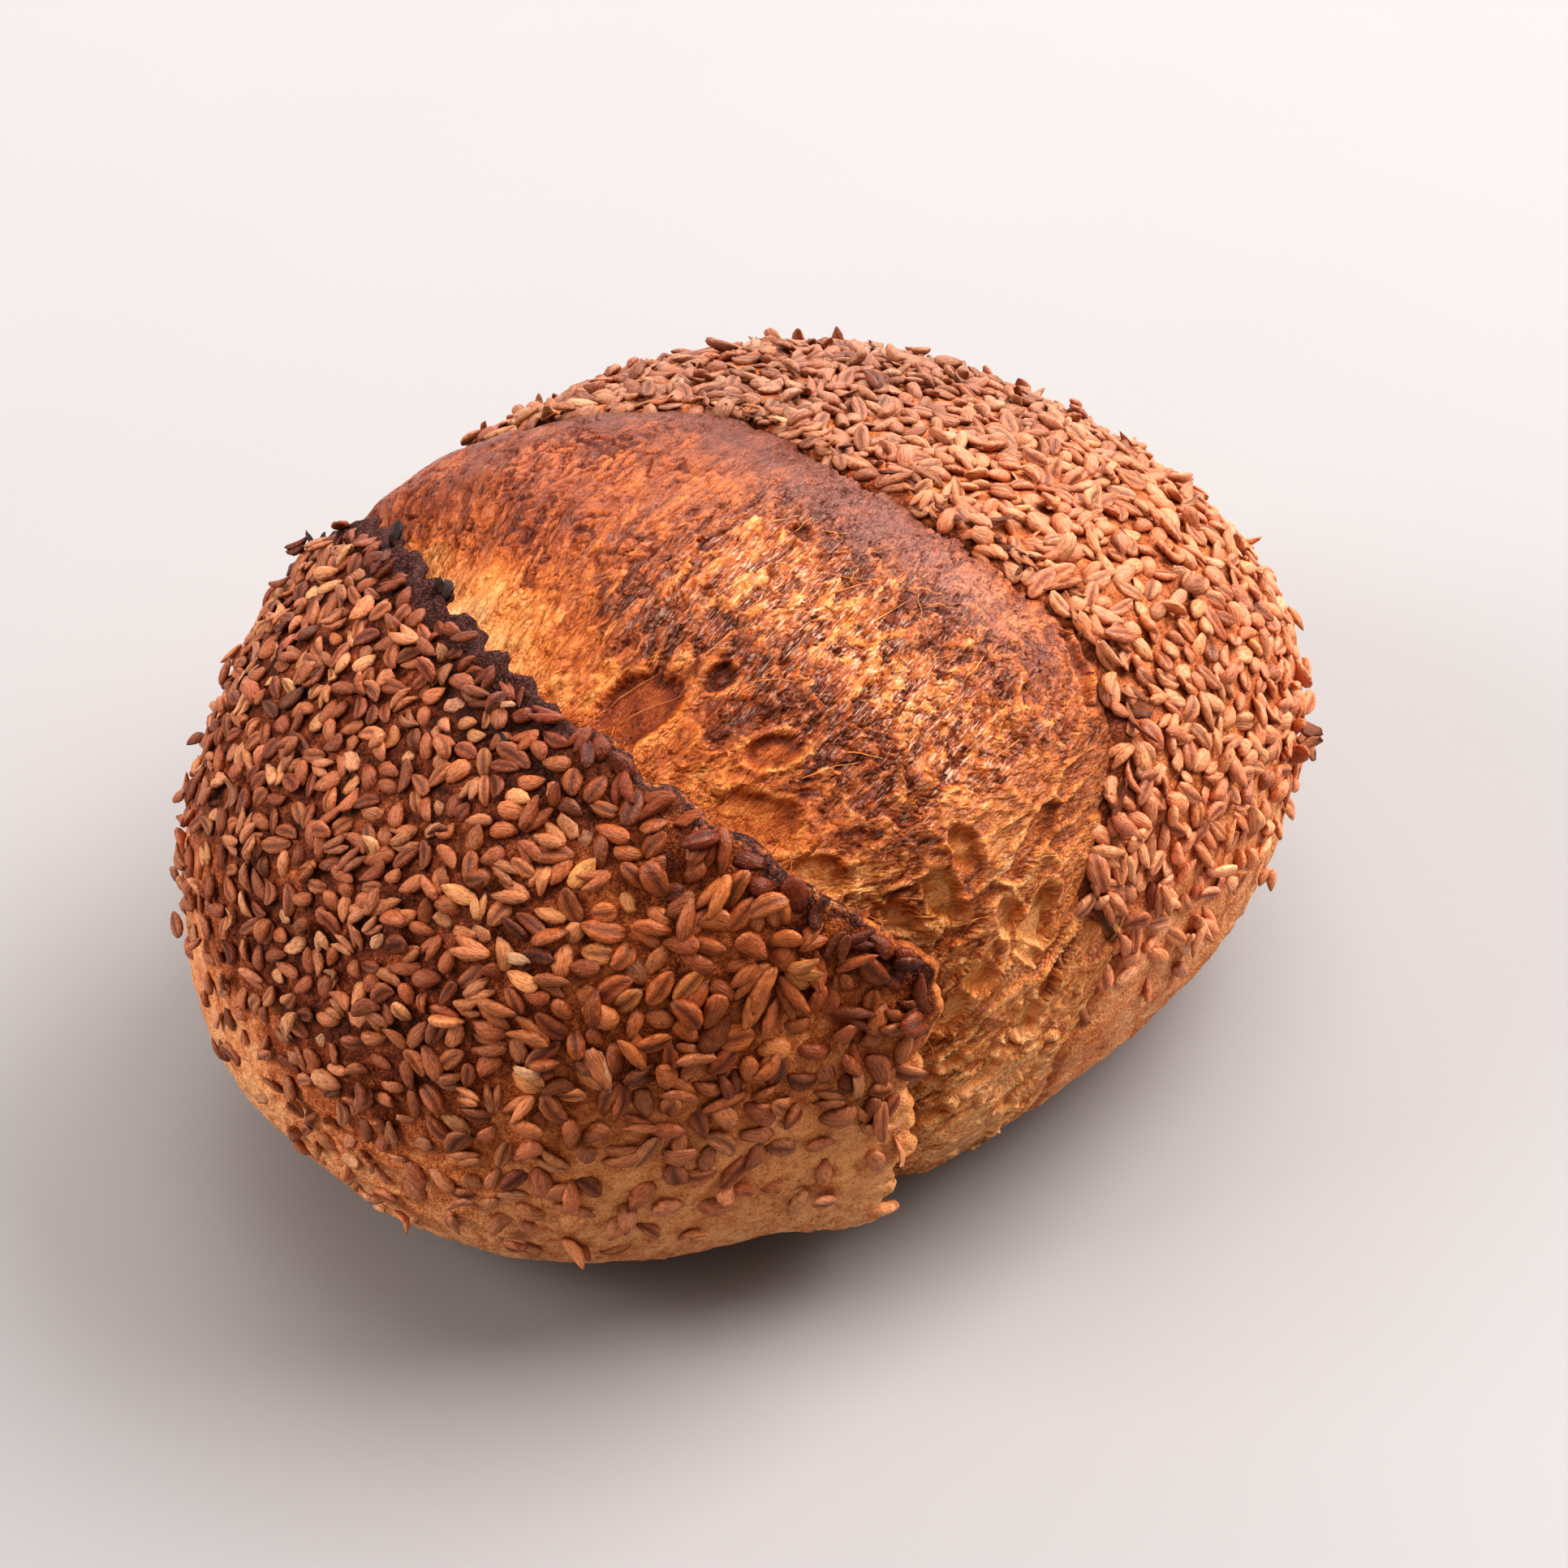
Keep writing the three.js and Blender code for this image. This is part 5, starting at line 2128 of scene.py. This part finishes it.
@dataclass(frozen=True)
class Lamp:
    """One soft lamp: its place and sizes in millimetres, and its power in watts."""

    name: str
    place: tuple[float, float, float]
    size: tuple[float, float]
    power: float


@dataclass(frozen=True)
class Stage:
    """A plain pale floor, soft studio light and the camera. The floor's own sizes are in metres."""

    azimuth: float = -46.0
    elevation: float = 41.0
    distance: float = 520.0
    angle: float = 26.2
    aim: tuple[float, float, float] = (0.0, 0.0, 35.0)
    shift: tuple[float, float] = (0.0285, 0.0041)
    floor_size: float = 40.0
    floor_place: tuple[float, float, float] = (0.0, 0.0, -0.0002)
    floor_shades: tuple[Colour, Colour] = ((0.298, 0.286, 0.286), (0.318, 0.308, 0.308))
    far_floor: Colour = (0.95, 0.95, 0.95)
    floor_fade: Span = (0.9, 2.3)
    lamps: tuple[Lamp, ...] = (
        Lamp("key", (2130.0, -830.0, 2240.0), (2500.0, 2200.0), 134.0),
        Lamp("top", (250.0, 150.0, 1900.0), (1200.0, 1200.0), 12.0),
        Lamp("back", (1350.0, 1450.0, 760.0), (2000.0, 800.0), 14.0),
        Lamp("left", (-1300.0, 960.0, 1000.0), (900.0, 900.0), 20.0),
    )
    lamp_colour: Colour = (1.0, 0.975, 0.965)
    lamp_aim: tuple[float, float, float] = (0.0, 0.0, 40.0)
    sky_colour: Colour = (1.0, 0.94, 0.92)
    sky_strength: float = 0.41

    def floor(self) -> None:
        """Lays the floor, which fades to near white far out."""
        size = {"size": self.floor_size, "location": self.floor_place}
        piece = add_primitive(bpy.ops.mesh.primitive_plane_add, "floor", **size)
        pen = NodePen("pale_floor")
        colour = pen.mix(pen.noise(180.0, 3.0), *self.floor_shades)
        outward = pen.reckon("LENGTH", pen.place((1.0, 1.0, 1.0)), (0.0, 0.0, 0.0), "Value")
        colour = pen.mix(pen.span(outward, *self.floor_fade), colour, self.far_floor)
        piece.data.materials.append(pen.finish(Base_Color=colour, Roughness=0.55))

    def light(self) -> None:
        """Hangs the lamps and sets the soft light all round."""
        for lamp in self.lamps:
            data = bpy.data.lights.new(lamp.name, "AREA")
            data.shape = "RECTANGLE"
            data.size, data.size_y = (length * MM for length in lamp.size)
            data.energy = lamp.power
            data.color = self.lamp_colour
            hung = bpy.data.objects.new(lamp.name, data)
            bpy.context.scene.collection.objects.link(hung)
            hung.location = np.array(lamp.place) * MM
            hung.rotation_euler = self._look(np.array(self.lamp_aim) - np.array(lamp.place))
            hung.visible_camera = False
        world = bpy.data.worlds.new("soft_light")
        world.use_nodes = True
        sky = world.node_tree.nodes["Background"]
        sky.inputs["Color"].default_value = (*self.sky_colour, 1.0)
        sky.inputs["Strength"].default_value = self.sky_strength
        bpy.context.scene.world = world

    @staticmethod
    def _look(direction: Array) -> tuple[float, float, float]:
        """Turns that make a lamp or camera look along a direction."""
        x, y, z = direction / np.linalg.norm(direction)
        return float(np.arccos(np.clip(-z, -1.0, 1.0))), 0.0, float(np.arctan2(-x, y))

    def camera(self) -> None:
        """Sets the camera at the photograph's angle."""
        a, e = np.radians(self.azimuth), np.radians(self.elevation)
        back = np.array([np.sin(a) * np.cos(e), -np.cos(a) * np.cos(e), np.sin(e)])
        data = bpy.data.cameras.new("camera")
        data.sensor_fit = "HORIZONTAL"
        data.angle = float(np.radians(self.angle))
        data.shift_x, data.shift_y = self.shift
        data.clip_start = 0.01
        camera = bpy.data.objects.new("camera", data)
        bpy.context.scene.collection.objects.link(camera)
        camera.location = (np.array(self.aim) + back * self.distance) * MM
        camera.rotation_euler = self._look(-back)
        bpy.context.scene.camera = camera

    def build(self) -> None:
        """Builds the floor, the light and the camera."""
        self.floor()
        self.light()
        self.camera()
        view = bpy.context.scene.view_settings
        view.view_transform = "Standard"
        view.look = "High Contrast"


def main() -> None:
    """Builds the loaf, piece by piece, and its stage."""
    logging.basicConfig(level=logging.INFO, format="%(name)s: %(message)s")
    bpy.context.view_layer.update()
    form = LoafForm()
    crust = Crust(form)
    shell = crust.build(CrustFinish().make())
    bloom = Bloom(form, crust)
    bloom.build(BloomFinish().make())
    bed = SeedBed(crust)
    bed.throw(shell)
    skin = SeedFinish().make()
    bed.lay(SEED_SHAPES, skin)
    Slivers(form, crust).build(skin)
    Fibres(form, crust, bloom).build(FibreFinish().make())
    Stage().build()


if __name__ == "__main__":
    main()
